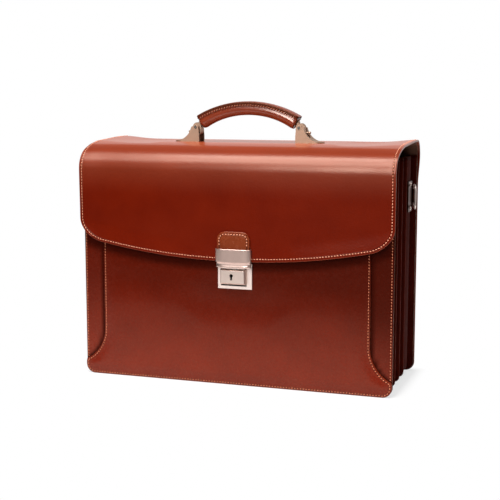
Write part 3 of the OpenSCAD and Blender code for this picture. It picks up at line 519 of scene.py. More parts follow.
def relaxed(x, s):
    """How far used leather stands off its pattern: ends curl up, long spans swell and sink a little."""
    end = ease(np.abs(x), 140 * mm, flap_half_w)
    over_top = ease(s, at_hinge + 4 * mm, at_top) * (1 - ease(s, at_top + 10 * mm, at_bend))
    rear_curl = rear_lift * end ** 2 * over_top
    front_curl = front_lift * end ** 3 * ease(s, at_bend, at_skirt)
    clear = ease(np.abs(x - lock_x), 30 * mm, 90 * mm)
    wave = np.sin(x / (31 * mm) + s / (47 * mm)) * 0.4 + np.sin(x / (73 * mm) - s / (29 * mm) + 1) * 0.6
    sway = sway_d * wave * clear * ease(s, at_bend + 10 * mm, at_skirt + 30 * mm)
    apart = ease(np.abs(x), 106 * mm, 130 * mm)
    hollow = hollow_d * apart * (1 - end) * ease(s, at_top - 8 * mm, at_top + 20 * mm)
    shoulder = shoulder_d * ease(s, at_bend - 24 * mm, at_bend + 18 * mm)
    fade = 1 - ease(s, at_bend + 6 * mm, at_bend + 50 * mm)
    to_edge = at_end - bow_r + np.sqrt(bow_r ** 2 - x * x) - s
    lifted = edge_lift * clear * (1 - ease(to_edge, 0, 24 * mm))
    return rear_curl + front_curl + sway + lifted - np.maximum(hollow, shoulder) * fade


def place_over(points, away):
    """Lays a ply over the case, and turns down the rim of the outer leather's inner face."""
    x, s, h = points.T
    y, z, ny, nz = over_case(s)
    outer = h > -leather_t - 0.05 * mm
    turned = ease(-h, 0.8 * mm, 2 * mm) * outer * (1 - ease(away, 4 * mm, 7 * mm))
    h = h + relaxed(x, s) - turned_d * turned
    return np.stack([x, y + ny * h, z + nz * h], axis=1)

# %% Outline of the long leather
def hung(x, s, end):
    """Narrows the strip where it lies on the back wall, and bows the edge that hangs down in front."""
    hang = np.clip((s - at_skirt) / (end - at_skirt), 0, 1)
    widen = 1 - (1 - half_w / flap_half_w) * (1 - ease(s, at_hinge - 40 * mm, at_hinge))
    return x * widen, s - hang * (bow_r - math.sqrt(bow_r ** 2 - x * x))


def flap_shape(inset):
    """The strip's outline, drawn in by inset."""
    half, end = flap_half_w - inset, at_end - inset

    def shape(x, s):
        x, s = round_corner(x, s, half, end, flap_corner_r - inset, 1)
        return hung(*round_corner(x, s, half, inset, wall_corner_r, -1), end)
    us = rimmed(-half, half, 4 * mm)
    vs = divide(inset, (inset + 4 * mm, 2 * mm), (inset + 13 * mm, 3 * mm), (at_hinge - 12 * mm, 6 * mm),
                (at_top + 24 * mm, 2 * mm), (at_bend, 3.5 * mm), (at_skirt, 2.6 * mm),
                (end - 10 * mm, 3.5 * mm), (end - 4 * mm, 3 * mm), (end, 2 * mm))
    return us, vs, shape


# %% [markdown]
# The leather lies on the back wall, over the top and down the flap as one piece, baked into the case's
# own frame, and so do the lining, the stiffener and the stitches that cross the same line.

# %% Back, top and flap in one leather
def across_hinge(piece):
    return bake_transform(piece)


def flap_sheet(name, inset, upper, lower, rounding, material):
    us, vs, shape = flap_shape(inset)
    bm, outline = cut(us, vs, shape)
    return across_hinge(lay(thicken(bm, upper, lower, rounding), name, outline, place_over, material))


flap_leather = flap_sheet("flap_and_back_leather", 0, 0, -leather_t, 0.9 * mm, case_leather)
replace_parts(flap_leather, "flap", "back_panel")


def stretch(x, s):
    """1 over the top, where leather is pulled and handled, and fading away below each bend. The lighter
    colour it brings is partly painted light on the lit top and bend.
    """
    top = 1 - 0.65 * ease(s, at_bend - 18 * mm, at_bend + 20 * mm)
    return ease(s, at_hinge, at_top) * top * (1 - ease(s, at_bend + 24 * mm, at_skirt + 34 * mm))


add_field(flap_leather, "pull", stretch)
stiffener = flap_sheet("flap_stiffener_sheet", 9 * mm, -2.1 * mm, -2.9 * mm, 0, fibre_board)
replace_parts(stiffener, "flap_stiffener")
flap_lining = flap_sheet("flap_and_back_lining", 3 * mm, -3.1 * mm, -4.1 * mm, 0.3 * mm, lining_cloth)
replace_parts(flap_lining, "flap_lining", "back_lining")

# %% Stitches round the flap and the back
def flap_row(inset):
    half = flap_half_w - inset
    r, end = flap_corner_r - inset, at_end - inset
    side = [(half, s) for s in divide(wall_corner_r, (at_end - flap_corner_r, 6 * mm))]
    row = side + arc(half - r, end - r, r, 0, 90)[1:]
    row += [(x, end) for x in divide(half - r - 6 * mm, (0, 6 * mm))]
    small_r = wall_corner_r - inset
    foot = arc(half - small_r, wall_corner_r, small_r, 0, -90)
    foot += [(x, inset) for x in divide(half - wall_corner_r - 6 * mm, (0, 6 * mm))]
    drawn = [hung(x, s, at_end) for x, s in foot[::-1] + row[1:]]
    return [drawn, [(-x, s) for x, s in drawn]]


across_hinge(sew("flap_stitching", flap_row(flap_groove * mm), -0.05 * mm, place_over))

# %% [markdown]
# The front wall is two plies of leather. The panel behind reaches the edge of the case. The pocket in
# front of it is narrower, and flares out to the panel's lower corners in two quarter curves. The
# pocket stands a little proud between its seams, as a sewn pocket does, but lies flat under the lock.
# Painted shade darkens the wall upward from the foot and toward the right, with a painted shadow in a
# soft dark line along the flap's edge and beside the pocket's edges.

# %% A sheet of the front wall
def wall_sheet(name, face, top, thickness, rounding, width=None, crown=None):
    def shape(x, z):
        if width:
            x = x * width(z) / half_w
        return round_corner(x, z, half_w, 0, wall_corner_r, -1)

    def place(points, away):
        x, z, h = points.T
        lift = crown(x, z, away) if crown else 0
        return np.stack([x, face - h - lift, z], axis=1)
    us = rimmed(-half_w, half_w, 5 * mm)
    vs = divide(0, (4 * mm, 2 * mm), (14 * mm, 2.5 * mm), (70 * mm, 2.2 * mm), (top - 10 * mm, 5 * mm),
                (top, 2.5 * mm))
    bm, outline = cut(us, vs, shape)
    sheet = thicken(bm, thickness, 0, rounding)
    return lay(sheet, name, outline, place, wall_leather), place

# %% Outline of the pocket
pocket_half_w, flare_r, flare_z = 173 * mm, 46 * mm, 60 * mm
flare_x = pocket_half_w + flare_r
flare_foot = flare_z - math.sqrt(flare_r ** 2 - (flare_x - half_w) ** 2)
print("the pocket flares from", flare_z, "down to", round(flare_foot, 4), "above the floor")


def pocket_width(z):
    if z >= flare_z:
        return pocket_half_w
    if z <= flare_foot:
        return half_w
    return flare_x - math.sqrt(flare_r ** 2 - (flare_z - z) ** 2)

# %% Painted shade on the front wall
# These also bound the painted shadow along the flap's edge.
edge_rests = 6 * mm, 28 * mm    # where the flap's pressure starts and stops to fade, below its edge


def below_edge(x, z):
    """How far a point of the wall lies below the closed flap's edge."""
    return flap_z + bow_r - np.sqrt(bow_r ** 2 - x * x) - z


def wall_painted_shade(x, z):
    """How much painted shade a point of the wall gets: a painted shadow along the flap's edge, and shade
    that grows upward from the foot and toward the right.
    """
    height = np.clip((z - 20 * mm) / (105 * mm), 0, 1) ** 1.3 * (1 - 0.3 * ease(z, 170 * mm, 280 * mm))
    below = below_edge(x, z)
    flap_shadow = (1 - ease(below, *edge_rests)) * ease(below, -26 * mm, 0)
    return np.maximum(0.95 * flap_shadow, (0.6 + 0.12 * x / half_w) * height)


# Painted shade on the panel: a painted shadow beside the pocket's raised edge, a darker right-hand strip,
# and the wall's own painted shade.
def beside_pocket(x, z):
    seam = 0.97 * (1 - ease(np.abs(x) - np.vectorize(pocket_width)(z), 1.5 * mm, 9 * mm))
    strip = np.where(x > 0, 0.3 + 0.5 * ease(z, 20 * mm, 110 * mm), 0.05)
    return np.maximum(np.maximum(seam, strip), wall_painted_shade(x, z))

# %% Front panel and pocket
crown_h, sunk_d = 2.2 * mm, 1.2 * mm


def pocket_crown(x, z, away):
    below = 1 - ease(z, 92 * mm, 140 * mm)
    by_lock = ease(np.abs(x - lock_x), 34 * mm, 90 * mm) + (1 - ease(z, 70 * mm, 110 * mm))
    covered = 1 - ease(below_edge(x, z), *edge_rests)
    sunk = sunk_d * covered * ease(np.abs(x - lock_x), 20 * mm, 60 * mm) * ease(away, 1 * mm, 12 * mm)
    return crown_h * ease(away, 1 * mm, 16 * mm) * below * np.minimum(by_lock, 1) - sunk


pocket_t = y_front - y_pocket
panel, place_panel = wall_sheet("front_panel_leather", y_front + leather_t, panel_top, leather_t, 0.8 * mm)
add_field(panel, "painted_shade", beside_pocket)
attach(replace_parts(panel, "front_panel"), "root")
pocket, place_pocket = wall_sheet("front_pocket_leather", y_front, pocket_top, pocket_t, 0.9 * mm,
                                  pocket_width, pocket_crown)
add_field(pocket, "painted_shade", wall_painted_shade)
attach(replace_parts(pocket, "front_pocket"), "root")

# %% Stitches of the front wall
inset = wall_groove * mm
edge_x = half_w - inset
side_rows = [[(s * edge_x, panel_top - 4 * mm), (s * edge_x, flare_foot + 2 * mm)] for s in (-1, 1)]
panel_stitches = sew("front_panel_stitching", side_rows, leather_t, place_panel, yarn=wall_thread)
corner = arc(half_w - wall_corner_r, wall_corner_r, wall_corner_r - inset, 0, -90)
foot_row = [(edge_x, flare_foot - 1 * mm)] + corner
foot_row += [(x, inset) for x in divide(half_w - 16 * mm, (0, 8 * mm))]
sewn_r = flare_r + inset
sewn_a = math.degrees(math.acos((flare_x - edge_x) / sewn_r))
flare_row = arc(flare_x, flare_z, sewn_r, 180 + sewn_a, 180, 16)
flare_row += [(pocket_half_w - inset, z) for z in divide(flare_z + 4 * mm, (pocket_top - 6 * mm, 8 * mm))]
pocket_rows = [[(s * x, z) for x, z in row] for row in (foot_row, flare_row) for s in (-1, 1)]


def on_pocket(points, away):
    return place_pocket(points, np.full(len(points), inset))


pocket_stitches = sew("front_pocket_stitching", pocket_rows, pocket_t, on_pocket, yarn=wall_thread)
for piece in (panel_stitches, pocket_stitches):
    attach(piece, "root")

# %% [markdown]
# The gussets are the accordion of the case: soft leather strips that run down one side, along the
# base and up the other side, and fold inward between the walls and the dividers. In the flat such a
# strip is a long ribbon: X is the way round the case and Y the way across the pleat. A pleat that is
# folded by hand is never even, so its depth wanders by a millimetre along the way.

# %% Folds across a gusset
gusset_t, fold_r = 1.2 * mm, 2.5 * mm
fin_inset, wall_inset, flange_w = half_w - fin_x, 1.5 * mm, 7 * mm
flange_in = fin_inset + flange_w
pleat_in = 20 * mm + fold_r / 2


def softened(corners, radii, n=6):
    """A path through the corners, with each inner corner turned into a short curve."""
    path = [np.array(corners[0])]
    for a, b, c, r in zip(corners, corners[1:], corners[2:], radii):
        a, b, c = (np.array(p) for p in (a, b, c))
        p = b + (a - b) / np.linalg.norm(a - b) * r
        q = b + (c - b) / np.linalg.norm(c - b) * r
        path += [(1 - t) ** 2 * p + 2 * t * (1 - t) * b + t * t * q for t in np.linspace(0, 1, n)]
    return np.array(path + [np.array(corners[-1])])


def pleat(y0, y1, tip0, tip1):
    a, b = y0 + gusset_t / 2, y1 - gusset_t / 2
    corners = [(tip0, a), (flange_in, a), (pleat_in, (y0 + y1) / 2), (flange_in, b), (tip1, b)]
    return softened(corners, [fold_r, 2 * fold_r, fold_r])


def bulge(y0, y1):
    a, b = y0 + gusset_t / 2, y1 - gusset_t / 2
    arch = [(flange_in - 5 * mm * math.sin(math.pi * t), a + (b - a) * t) for t in np.linspace(0, 1, 17)]
    return np.array([(fin_inset, a)] + arch + [(wall_inset, b)])

# %% The way round the case
turn_l = wall_corner_r
side_l, base_l = gusset_top - turn_l, 2 * (half_w - turn_l)
base_from = side_l + turn_l
base_to = base_from + base_l
route_l = base_to + turn_l + side_l
print("a gusset is", round(route_l, 3), "long in the flat")


def round_case(run, d):
    """X and Z at a distance run along the route, on the line that lies d inside the case's outline."""
    r = np.maximum(wall_corner_r - d, 3.5 * mm)
    half, low = half_w - d - r, d + r
    legs = (0, side_l), (side_l, turn_l), (base_from, base_l), (base_to, turn_l), (base_to + turn_l, side_l)
    down, turn_a, along, turn_b, up = (np.clip((run - start) / length, 0, 1) for start, length in legs)
    turn_a, turn_b = turn_a * math.pi / 2, turn_b * math.pi / 2
    x = np.where(run < base_from + base_l / 2, -half - r * np.cos(turn_a) + 2 * half * along,
                 half + r * np.sin(turn_b))
    z = gusset_top - (gusset_top - low) * down - r * np.sin(turn_a) + r * (1 - np.cos(turn_b))
    return x, z + (gusset_top - low) * up

# %% Gussets
def gusset(node, path, wander):
    run = run_along(path)
    tangent = np.gradient(path, run, axis=0)
    tangent /= np.linalg.norm(tangent, axis=1)[:, None]

    def place(points, away):
        way, across, h = points.T
        d, y = (np.interp(across, run, path[:, k]) for k in (0, 1))
        td, ty = (np.interp(across, run, tangent[:, k]) for k in (0, 1))
        d, y = d - ty * h, y + td * h
        free = np.sin(np.clip((across - flange_w) / (run[-1] - 2 * flange_w), 0, 1) * math.pi) ** 2
        d = d + wander * free * (np.sin(way / (37 * mm)) + 0.6 * np.sin(way / (17 * mm) + 2))
        y = y + 0.6 * wander * free * np.sin(way / (51 * mm) + 1)
        x, z = round_case(way, d)
        return np.stack([x, y, z], axis=1)
    us = divide(0, (side_l, 5 * mm), (base_from, 1.5 * mm), (base_to, 6 * mm), (base_to + turn_l, 1.5 * mm),
                (route_l, 5 * mm))
    bm, _ = cut(us, divide(0, (run[-1], 1.6 * mm)), lambda x, y: (x, y))
    ends = [(Vector((way, 0)), Vector((way, run[-1]))) for way in (0, route_l)]
    strip = thicken(bm, gusset_t / 2, -gusset_t / 2, 0)
    made = lay(strip, node + "_leather", ends, place, gusset_leather)
    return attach(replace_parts(made, node), "root")


fins = [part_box(n) for n in ("front_divider", "middle_divider", "rear_divider")]
inner_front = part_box("front_gusset")[0].y
inner_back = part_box("rear_gusset")[1].y
gusset("front_gusset", pleat(inner_front, fins[0][0].y, wall_inset, fin_inset), 1 * mm)
gusset("second_gusset", pleat(fins[0][1].y, fins[1][0].y, fin_inset, fin_inset), 0.8 * mm)
gusset("third_gusset", pleat(fins[1][1].y, fins[2][0].y, fin_inset, fin_inset), -0.8 * mm)
gusset("rear_gusset", bulge(fins[2][1].y, inner_back), 0)

# %% [markdown]
# Hard pieces come from the construction as sharp solids. A real casting or pressing has broken edges
# that catch a thin line of light. A bevel modifier could do it live, but here a copy of the solid is
# merged, its flat faces are joined, and its sharp edges are bevelled in the mesh. Weighted normals keep
# the flats looking flat.

# %% Broken edges on the fittings
def merged(node):
    """A copy of a solid of the construction, with its loose triangles joined."""
    bm = bmesh.new()
    bm.from_mesh(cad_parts[node].data)
    bmesh.ops.remove_doubles(bm, verts=bm.verts, dist=0.002 * mm)
    return bm


def broken(node, name, width, material, body, angle=35):
    bm = merged(node)
    bmesh.ops.dissolve_limit(bm, angle_limit=math.radians(1), verts=bm.verts, edges=bm.edges)
    sharp = [e for e in bm.edges if len(e.link_faces) == 2 and e.calc_face_angle(0) > math.radians(angle)]
    bmesh.ops.bevel(bm, geom=sharp, offset=width, segments=2, profile=0.5, affect="EDGES", material=-1,
                    clamp_overlap=True)
    made = as_piece(bm, name, material)
    made.modifiers.new("even_flats", "WEIGHTED_NORMAL").keep_sharp = True
    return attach(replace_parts(made, node), body)


broken("lock_base", "lock_base_plate", 0.35 * mm, satin_nickel, "root")
broken("lock_button", "lock_button_block", 0.35 * mm, button_nickel, "lock_button")
for node, name, width, material, body in (
        ("bracket_", "handle_bracket_", 0.35 * mm, bracket_nickel, "flap"),
        ("handle_loop_", "handle_end_loop_", 0.5 * mm, bracket_nickel, "handle"),
        ("ring_plate_", "strap_ring_plate_", 0.3 * mm, plate_bronze, "root")):
    for side in ("left", "right"):
        broken(node + side, name + side, width, material, body)
for n in ("front_divider", "middle_divider", "rear_divider"):
    broken(n, n + "_leather", 0.6 * mm, divider_leather, "root")

# %% [markdown]
# Three small things finish the lock. A black ring round the keyhole, wider than the hole itself, is
# painted shade that makes the keyhole look larger. A black strip on the plate under the button's lower
# edge is a painted shadow, and shows as a dark line.

# %% Painted shade round the keyhole
button_low, button_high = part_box("lock_button")
key_x, key_z, key_hole = lock_x - 2.5 * mm, (button_low.z + button_high.z) / 2, 1.5 * mm
# Each line is its disc's radius, and its tail's half width and length.
hole_line, shade_ring_line = (key_hole, 0.5 * key_hole, 3 * key_hole), (2.2 * mm, 1.25 * mm, 5.3 * mm)


def keyhole_line(a, disc, tail_half, tail):
    """The outline of a keyhole at the angle a from straight up: a disc with a tail that points down."""
    if math.cos(a) < 0:
        disc = max(disc, min(tail_half / max(abs(math.sin(a)), 0.01), tail / abs(math.cos(a))))
    return disc * math.sin(a), disc * math.cos(a)


def shade_ring_shape(a, line):
    x, z = keyhole_line(a, *line)
    return key_x + x, button_low.y - 0.02 * mm, key_z + key_hole + z


bm = grid(np.linspace(0, 2 * math.pi, 61), (hole_line, shade_ring_line), shade_ring_shape)
bmesh.ops.remove_doubles(bm, verts=bm.verts, dist=0.001 * mm)
bmesh.ops.recalc_face_normals(bm, faces=bm.faces)
bmesh.ops.solidify(bm, geom=bm.faces[:], thickness=0.12 * mm)
bmesh.ops.recalc_face_normals(bm, faces=bm.faces)
shade_ring = as_piece(bm, "keyhole_shade_ring", shade_black)
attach(shade_ring, "lock_button")

# %% Painted shadow under the button
shadow_strip_x = button_low.x - 0.5 * mm, button_high.x - 0.5 * mm
shadow_strip_z = button_low.z - 2.4 * mm, button_low.z + 0.6 * mm
bm = grid(np.linspace(*shadow_strip_x, 25), np.linspace(*shadow_strip_z, 4), lambda x, z: (x, button_high.y + 0.06 * mm, z))
bmesh.ops.solidify(bm, geom=bm.faces[:], thickness=0.1 * mm)
bmesh.ops.recalc_face_normals(bm, faces=bm.faces)
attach(as_piece(bm, "button_shadow_strip", shadow_strip), "root")

# %% Coil spring
spring = as_piece(merged("button_spring"), "button_coil_spring", plain_steel)
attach(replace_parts(spring, "button_spring"), "root")
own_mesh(spring)

# %% [markdown]
# The hasp is one pressing of thin steel: a broad bowed band, a step inward, and a narrower lip that
# drops over the lock. Both faces bulge forward and their lower edges sag a little in the middle. A
# strip is shaped row by row, from its upper edge down to the lip, and then given the metal's thickness.
# Each row says how much of the bulge it has, its height, whether it is part of the lip, and its sag.

# %% Hasp
hasp_low, hasp_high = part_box("hasp_shell")
hasp_t, sag_h, band_foot = 1.2 * mm, 1.3 * mm, hasp_high.z - 16 * mm
band_proud, lip_proud = y_flap - hasp_low.y, y_flap - hasp_low.y - 2 * mm
band_half = (hasp_high.x - hasp_low.x) / 2
hasp_rows = [(0.92, hasp_high.z - 0.1 * mm, 0, 0), (1, hasp_high.z - 0.5 * mm, 0, 0),
             (1, hasp_high.z - 0.9 * mm, 0, 0), (1, band_foot + 7 * mm, 0, 0.3),
             (1, band_foot + 1.1 * mm, 0, 0.9), (1, band_foot + 0.7 * mm, 0, 1),
             (0.93, band_foot + 0.1 * mm, 0, 1), (0.72, band_foot, 0, 1),
             (0.84, band_foot - 0.3 * mm, 1, 1), (0.84, band_foot - 2.2 * mm, 1, 1),
             (0.92, band_foot - 3.6 * mm, 1, 1), (1, hasp_low.z + 1.6 * mm, 1, 1),
             (1, hasp_low.z + 0.9 * mm, 1, 1), (0.9, hasp_low.z + 0.2 * mm, 1, 1), (0.6, hasp_low.z, 1, 1)]


def hasp_shape(u, row):
    reach, z, lip, sag = row
    half = band_half - (1 * mm if lip else 0)
    proud = (lip_proud if lip else band_proud) * reach
    x = min(abs(u), 1) * half
    near_end = max(0, (x / half - 0.5) / 0.5)
    y = proud / 3 + proud * 2 / 3 * math.sqrt(max(0, 1 - near_end ** 2)) if abs(u) <= 1 else 0
    z -= sag_h * sag * (1 - (x / half) ** 2) * (z < hasp_high.z - 1 * mm)
    return lock_x + math.copysign(x, u), y_flap - y, max(z, hasp_low.z)


bm = grid([-1.1, *np.linspace(-1, 1, 41), 1.1], hasp_rows[::-1], hasp_shape)
bmesh.ops.recalc_face_normals(bm, faces=bm.faces)
if sum(f.normal.y for f in bm.faces) > 0:
    bmesh.ops.reverse_faces(bm, faces=bm.faces)
bmesh.ops.solidify(bm, geom=bm.faces[:], thickness=hasp_t)
hasp = as_piece(bm, "hasp_cover", hasp_nickel)
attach(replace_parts(hasp, "hasp_shell"), "flap")

# %% [markdown]
# The leather tab above the hasp is a doubled piece with turned edges, sewn round its arch. It is
# lighter than the flap, because it is waxed by hand, and it stands up a little in the middle.

# %% Tab
tab_corner_r = 10 * mm


def tab_shape(x, z):
    return round_corner(x, z, tab_half_w, tab_high.z, tab_corner_r, 1)


def place_tab(points, away):
    x, z, h = points.T
    lift = 0.7 * mm * ease(away, 2.4 * mm, 8 * mm)
    return np.stack([x + lock_x, y_flap - h - lift, z], axis=1)


tab_t = y_flap - tab_low.y
bm, outline = cut(rimmed(-tab_half_w, tab_half_w, 2 * mm), rimmed(tab_low.z, tab_high.z, 2 * mm), tab_shape)
tab = lay(thicken(bm, tab_t, 0, 0.9 * mm), "lock_tab_leather", outline, place_tab, tab_leather)
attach(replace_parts(tab, "lock_tab"), "flap")
tab_in = tab_groove * mm
corner_x, corner_z = tab_half_w - tab_corner_r, tab_high.z - tab_corner_r
tab_row = [(tab_half_w - tab_in, z) for z in divide(tab_low.z + 18 * mm, (corner_z, 4 * mm))]
tab_row += arc(corner_x, corner_z, tab_corner_r - tab_in, 0, 90)[1:]
tab_row += [(0, tab_high.z - tab_in)]
tab_rows = [tab_row, [(-x, z) for x, z in tab_row]]
tab_stitches = sew("lock_tab_stitching", tab_rows, tab_t + 0.1 * mm, place_tab)
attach(tab_stitches, "flap")

# %% [markdown]
# The handle is a core wrapped in a rolled leather, whose two edges are sewn together under a flat
# spine strap. Its section is a circle with shoulders. The section is drawn once at one end of the arch
# and spun round the arch's centre, which is what a sweep along a circle is.

# %% Section of the grip
spine_low, spine_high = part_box("handle_spine")
y_handle = (spine_low.y + spine_high.y) / 2
arch_r, spine_t, grip_r = 133 * mm, 3.2 * mm, 7 * mm
arch_z = spine_high.z - arch_r
under_spine = arch_r - spine_t
grip_mid = under_spine - grip_r + grip_r / 7
half_a = math.asin(min(1, spine_high.x / arch_r))
grip_a = half_a - math.radians(1)
shoulder_w, side_w, waist = 8.6 * mm, 0.8 * grip_r, 4.5 * mm
print("the handle's arch spans", round(math.degrees(2 * half_a), 1), "degrees")


def grip_section(angle):
    """A point of the grip's section, as its distance from the roll's middle outward, and sideways."""
    side, out = grip_r * math.sin(angle), grip_r * math.cos(angle)
    if out > waist:
        rise = min(1, (out - waist) / (1 * mm))
        wide = side_w + (shoulder_w - side_w) * rise
        side = math.copysign(min(abs(side) * 2.4, wide), side)
        out = waist + (under_spine - grip_mid - waist) * min(1, rise * 1.3)
    return out, side


# %% Grip
bm = bmesh.new()
bmesh.ops.create_circle(bm, segments=48, radius=1)
for v in bm.verts:
    out, side = grip_section(math.atan2(v.co.x, v.co.y))
    v.co = (0, side, grip_mid + out)
bmesh.ops.rotate(bm, verts=bm.verts, cent=(0, 0, 0), matrix=Matrix.Rotation(-grip_a, 3, "Y"))
bmesh.ops.spin(bm, geom=bm.edges[:], cent=(0, 0, 0), axis=(0, 1, 0), angle=2 * grip_a, steps=64,
               use_merge=False)
for v in bm.verts:
    a = math.atan2(v.co.x, v.co.z)
    r = math.hypot(v.co.x, v.co.z)
    full = 1.04 + 0.14 * abs(a / grip_a) ** 3 - 0.1 * max(0, abs(a) / grip_a - 0.95) / 0.05
    squeeze = under_spine + (r - under_spine) * full
    v.co = (squeeze * math.sin(a), v.co.y * full, squeeze * math.cos(a))
bmesh.ops.translate(bm, verts=bm.verts, vec=(0, y_handle, arch_z))
bmesh.ops.holes_fill(bm, edges=[e for e in bm.edges if e.is_boundary], sides=0)
caps = [f for f in bm.faces if len(f.verts) > 8]
bmesh.ops.inset_region(bm, faces=caps, thickness=1.2 * mm, depth=0.8 * mm, use_even_offset=True)
bmesh.ops.recalc_face_normals(bm, faces=bm.faces)
grip = as_piece(bm, "handle_grip_leather", handle_leather)
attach(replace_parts(grip, "handle_grip"), "handle")

# %% Spine strap
def on_arch(run, y, r):
    return np.stack([r * np.sin(run / arch_r), y_handle + y, arch_z + r * np.cos(run / arch_r)], axis=1)


def place_arch(points, away):
    run, across, h = points.T
    crown = 0.5 * mm * ease(away, 1 * mm, 6 * mm) * ease(h, 0, spine_t)
    return on_arch(run, across, under_spine + h + crown)


spine_l, spine_half = half_a * arch_r - 2.5 * mm, (spine_high.y - spine_low.y) / 2


def spine_shape(run, y):
    way = math.copysign(1, run)
    y, run = round_corner(y, run, spine_half, way * spine_l, 3 * mm, way)
    return run, y


bm, outline = cut(rimmed(-spine_l, spine_l, 3 * mm), rimmed(-spine_half, spine_half, 3 * mm), spine_shape)
spine = lay(thicken(bm, spine_t, 0, 0.9 * mm), "handle_spine_leather", outline, place_arch, strap_leather)
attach(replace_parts(spine, "handle_spine"), "handle")

# %% Stitches of the handle
def place_shoulder(side):
    def place(points, away):
        run, up, h = points.T
        return on_arch(run, side * (8.5 * mm + h), under_spine - 0.4 * mm + up)
    return place


sewn_l = grip_a * arch_r - 3 * mm
for word, side in (("front", -1), ("rear", 1)):
    row = sew("handle_stitching_" + word, [[(-sewn_l, 0), (sewn_l, 0)]], 0, place_shoulder(side),
              slant=50, yarn=handle_thread, size=1.6)
    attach(row, "handle")

# %% [markdown]
# What is left is in the construction already and only needs its finish: rings and rivets, the inside
# of the lock, boards and backing plates.

# %% Finishes on the construction's own pieces
kept = {
    bright_nickel: ["ring_rivets", "bracket_pins"],
    satin_nickel: ["strap_ring_left", "strap_ring_right", "hasp_tongue", "bracket_studs"],
    plain_steel: ["lock_backing", "lock_studs", "lock_catch", "hasp_rivets", "hasp_backing",
                  "bracket_backings", "ring_washers"],
    # The key barrel is black as painted shade inside the keyhole.
    shade_black: ["key_barrel"],
    fibre_board: ["front_board", "back_board"],
    wall_lining: ["front_lining", "handle_core"],
}
for material, nodes in kept.items():
    for n in nodes:
        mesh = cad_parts[n].data
        mesh.materials.clear()
        mesh.materials.append(material)
print("finished", sum(len(nodes) for nodes in kept.values()), "pieces of the construction")

# %% [markdown]
# The studio is plain: a white floor that fades into a white surround, one large soft lamp above, one
# high in front that draws the highlight along the rolled edge, and a small one for its right end.
# Beside the case the floor is lit paper, so it keeps the shadow. Further out it is seen as the
# surround's plain white, while the paper itself gets greyer and throws less light up on the case.

# %% Floor
def mirror_rays(tree):
    mirror, glass = (shade(tree, "LightPath", take=f"Is {ray} Ray") for ray in ("Glossy", "Transmission"))
    return shade(tree, "Math", {0: mirror, 1: glass}, operation="MAXIMUM")


def stage_floor():
    material, tree, surface = new_material("white_paper_floor")
    where = shade(tree, "TexCoord", take="Object")
    apart = shade(tree, "VectorMath", {0: where}, operation="ABSOLUTE")
    for operation, limit in (("SUBTRACT", (half_w, y_back, 0)), ("MAXIMUM", (0, 0, 0))):
        apart = shade(tree, "VectorMath", {0: apart, 1: limit}, operation=operation)
    far = shade(tree, "VectorMath", {0: apart}, "Value", operation="LENGTH")
    behind = shade(tree, "SeparateXYZ", {"Vector": where}, "Y")
    amounts = []    # the camera sees plain white past the paper, and mirrors see it far behind the case
    for ray, value, none, full in ((shade(tree, "LightPath", take="Is Camera Ray"), far, -0.03, 0.018),
                                   (mirror_rays(tree), behind, 1.0, 2.4)):
        fade = shade(tree, "MapRange", {"Value": value, "From Min": none, "From Max": full}, **SMOOTH)
        amounts.append(shade(tree, "Math", {0: ray, 1: fade}, operation="MULTIPLY"))
    further = shade(tree, "MapRange", {"Value": far, "From Min": 0.1, "From Max": 0.9}, **SMOOTH)
    paper = shade(tree, "Mix", {FACTOR: further, FIRST: linear("#E6E6E6"), SECOND: linear("#707070")},
                  **COLOURS)
    set_inputs(tree, surface, {"Base Color": paper, "Roughness": 0.9, "Specular IOR Level": 0})
    glow = shade(tree, "Emission", {"Color": (1, 1, 1, 1), "Strength": 1})
    bright = shade(tree, "Math", dict(enumerate(amounts)), operation="MAXIMUM")
    both = shade(tree, "MixShader", {0: bright, 1: surface.outputs[0], 2: glow})
    tree.links.new(both, tree.nodes["Material Output"].inputs["Surface"])
    bm = bmesh.new()
    bmesh.ops.create_grid(bm, x_segments=1, y_segments=1, size=6)
    as_piece(bm, "floor", material)


stage_floor()

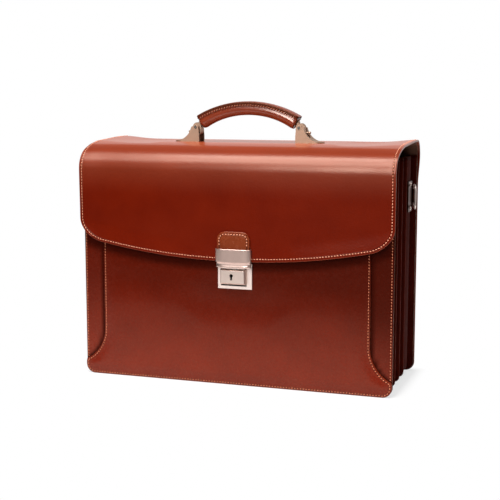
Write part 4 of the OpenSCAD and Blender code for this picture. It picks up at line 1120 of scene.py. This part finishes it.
# %% Surround
def surround(level):
    world = bpy.data.worlds.new("white_surround")
    world.use_nodes = True
    tree = world.node_tree
    mirrored, way = mirror_rays(tree), shade(tree, "TexCoord", take="Generated")
    for axis, none, full in (("Z", 0.55, 0.35), ("Y", -0.2, 0.3)):
        part = shade(tree, "SeparateXYZ", {"Vector": way}, axis)
        fade = shade(tree, "MapRange", {"Value": part, "From Min": none, "From Max": full}, **SMOOTH)
        mirrored = shade(tree, "Math", {0: mirrored, 1: fade}, operation="MULTIPLY")
    ray = shade(tree, "LightPath", take="Is Camera Ray")
    seen = shade(tree, "Math", {0: ray, 1: mirrored}, operation="MAXIMUM")
    strength = shade(tree, "MapRange", {"Value": seen, "To Min": level, "To Max": 1})
    set_inputs(tree, tree.nodes["Background"], {"Color": (1, 1, 1, 1), "Strength": strength})
    bpy.context.scene.world = world


surround(0.08)

# %% Lamps
def softbox(name, place, target, size, power):
    lamp = bpy.data.lights.new(name, "AREA")
    lamp.shape, lamp.size, lamp.size_y, lamp.energy = "RECTANGLE", *size, power
    made = add_object(name, lamp)
    made.location = place
    made.rotation_euler = (Vector(target) - Vector(place)).to_track_quat("-Z", "Y").to_euler()
    print(name, power, "W")


softbox("softbox_above", (0, -0.22, 1.5), (0, -0.06, 0.2), (1.3, 0.4), 21)
softbox("softbox_front", (-0.25, -0.86, 1.49), (0, -0.06, 0.25), (1.1, 0.55), 19)
softbox("softbox_low", (-0.13, -1.42, 0.86), (0.16, -0.06, 0.28), (0.26, 0.76), 14)

# %% [markdown]
# The camera stands where the photograph's stood: about 1.4 m away, to the right of the case and a
# little above it, with a long lens.

# %% Camera
lens = bpy.data.cameras.new("camera")
lens.lens, lens.sensor_width = 80.94, 36
camera = add_object("camera", lens)
camera.location = (0.4561, -1.34485, 0.3611)
camera.rotation_euler = (math.radians(90 - 8.07), 0, math.radians(18.72))
bpy.context.scene.camera = camera
bpy.context.scene.view_settings.view_transform = "Standard"
print("camera at", [round(c, 3) for c in camera.location])
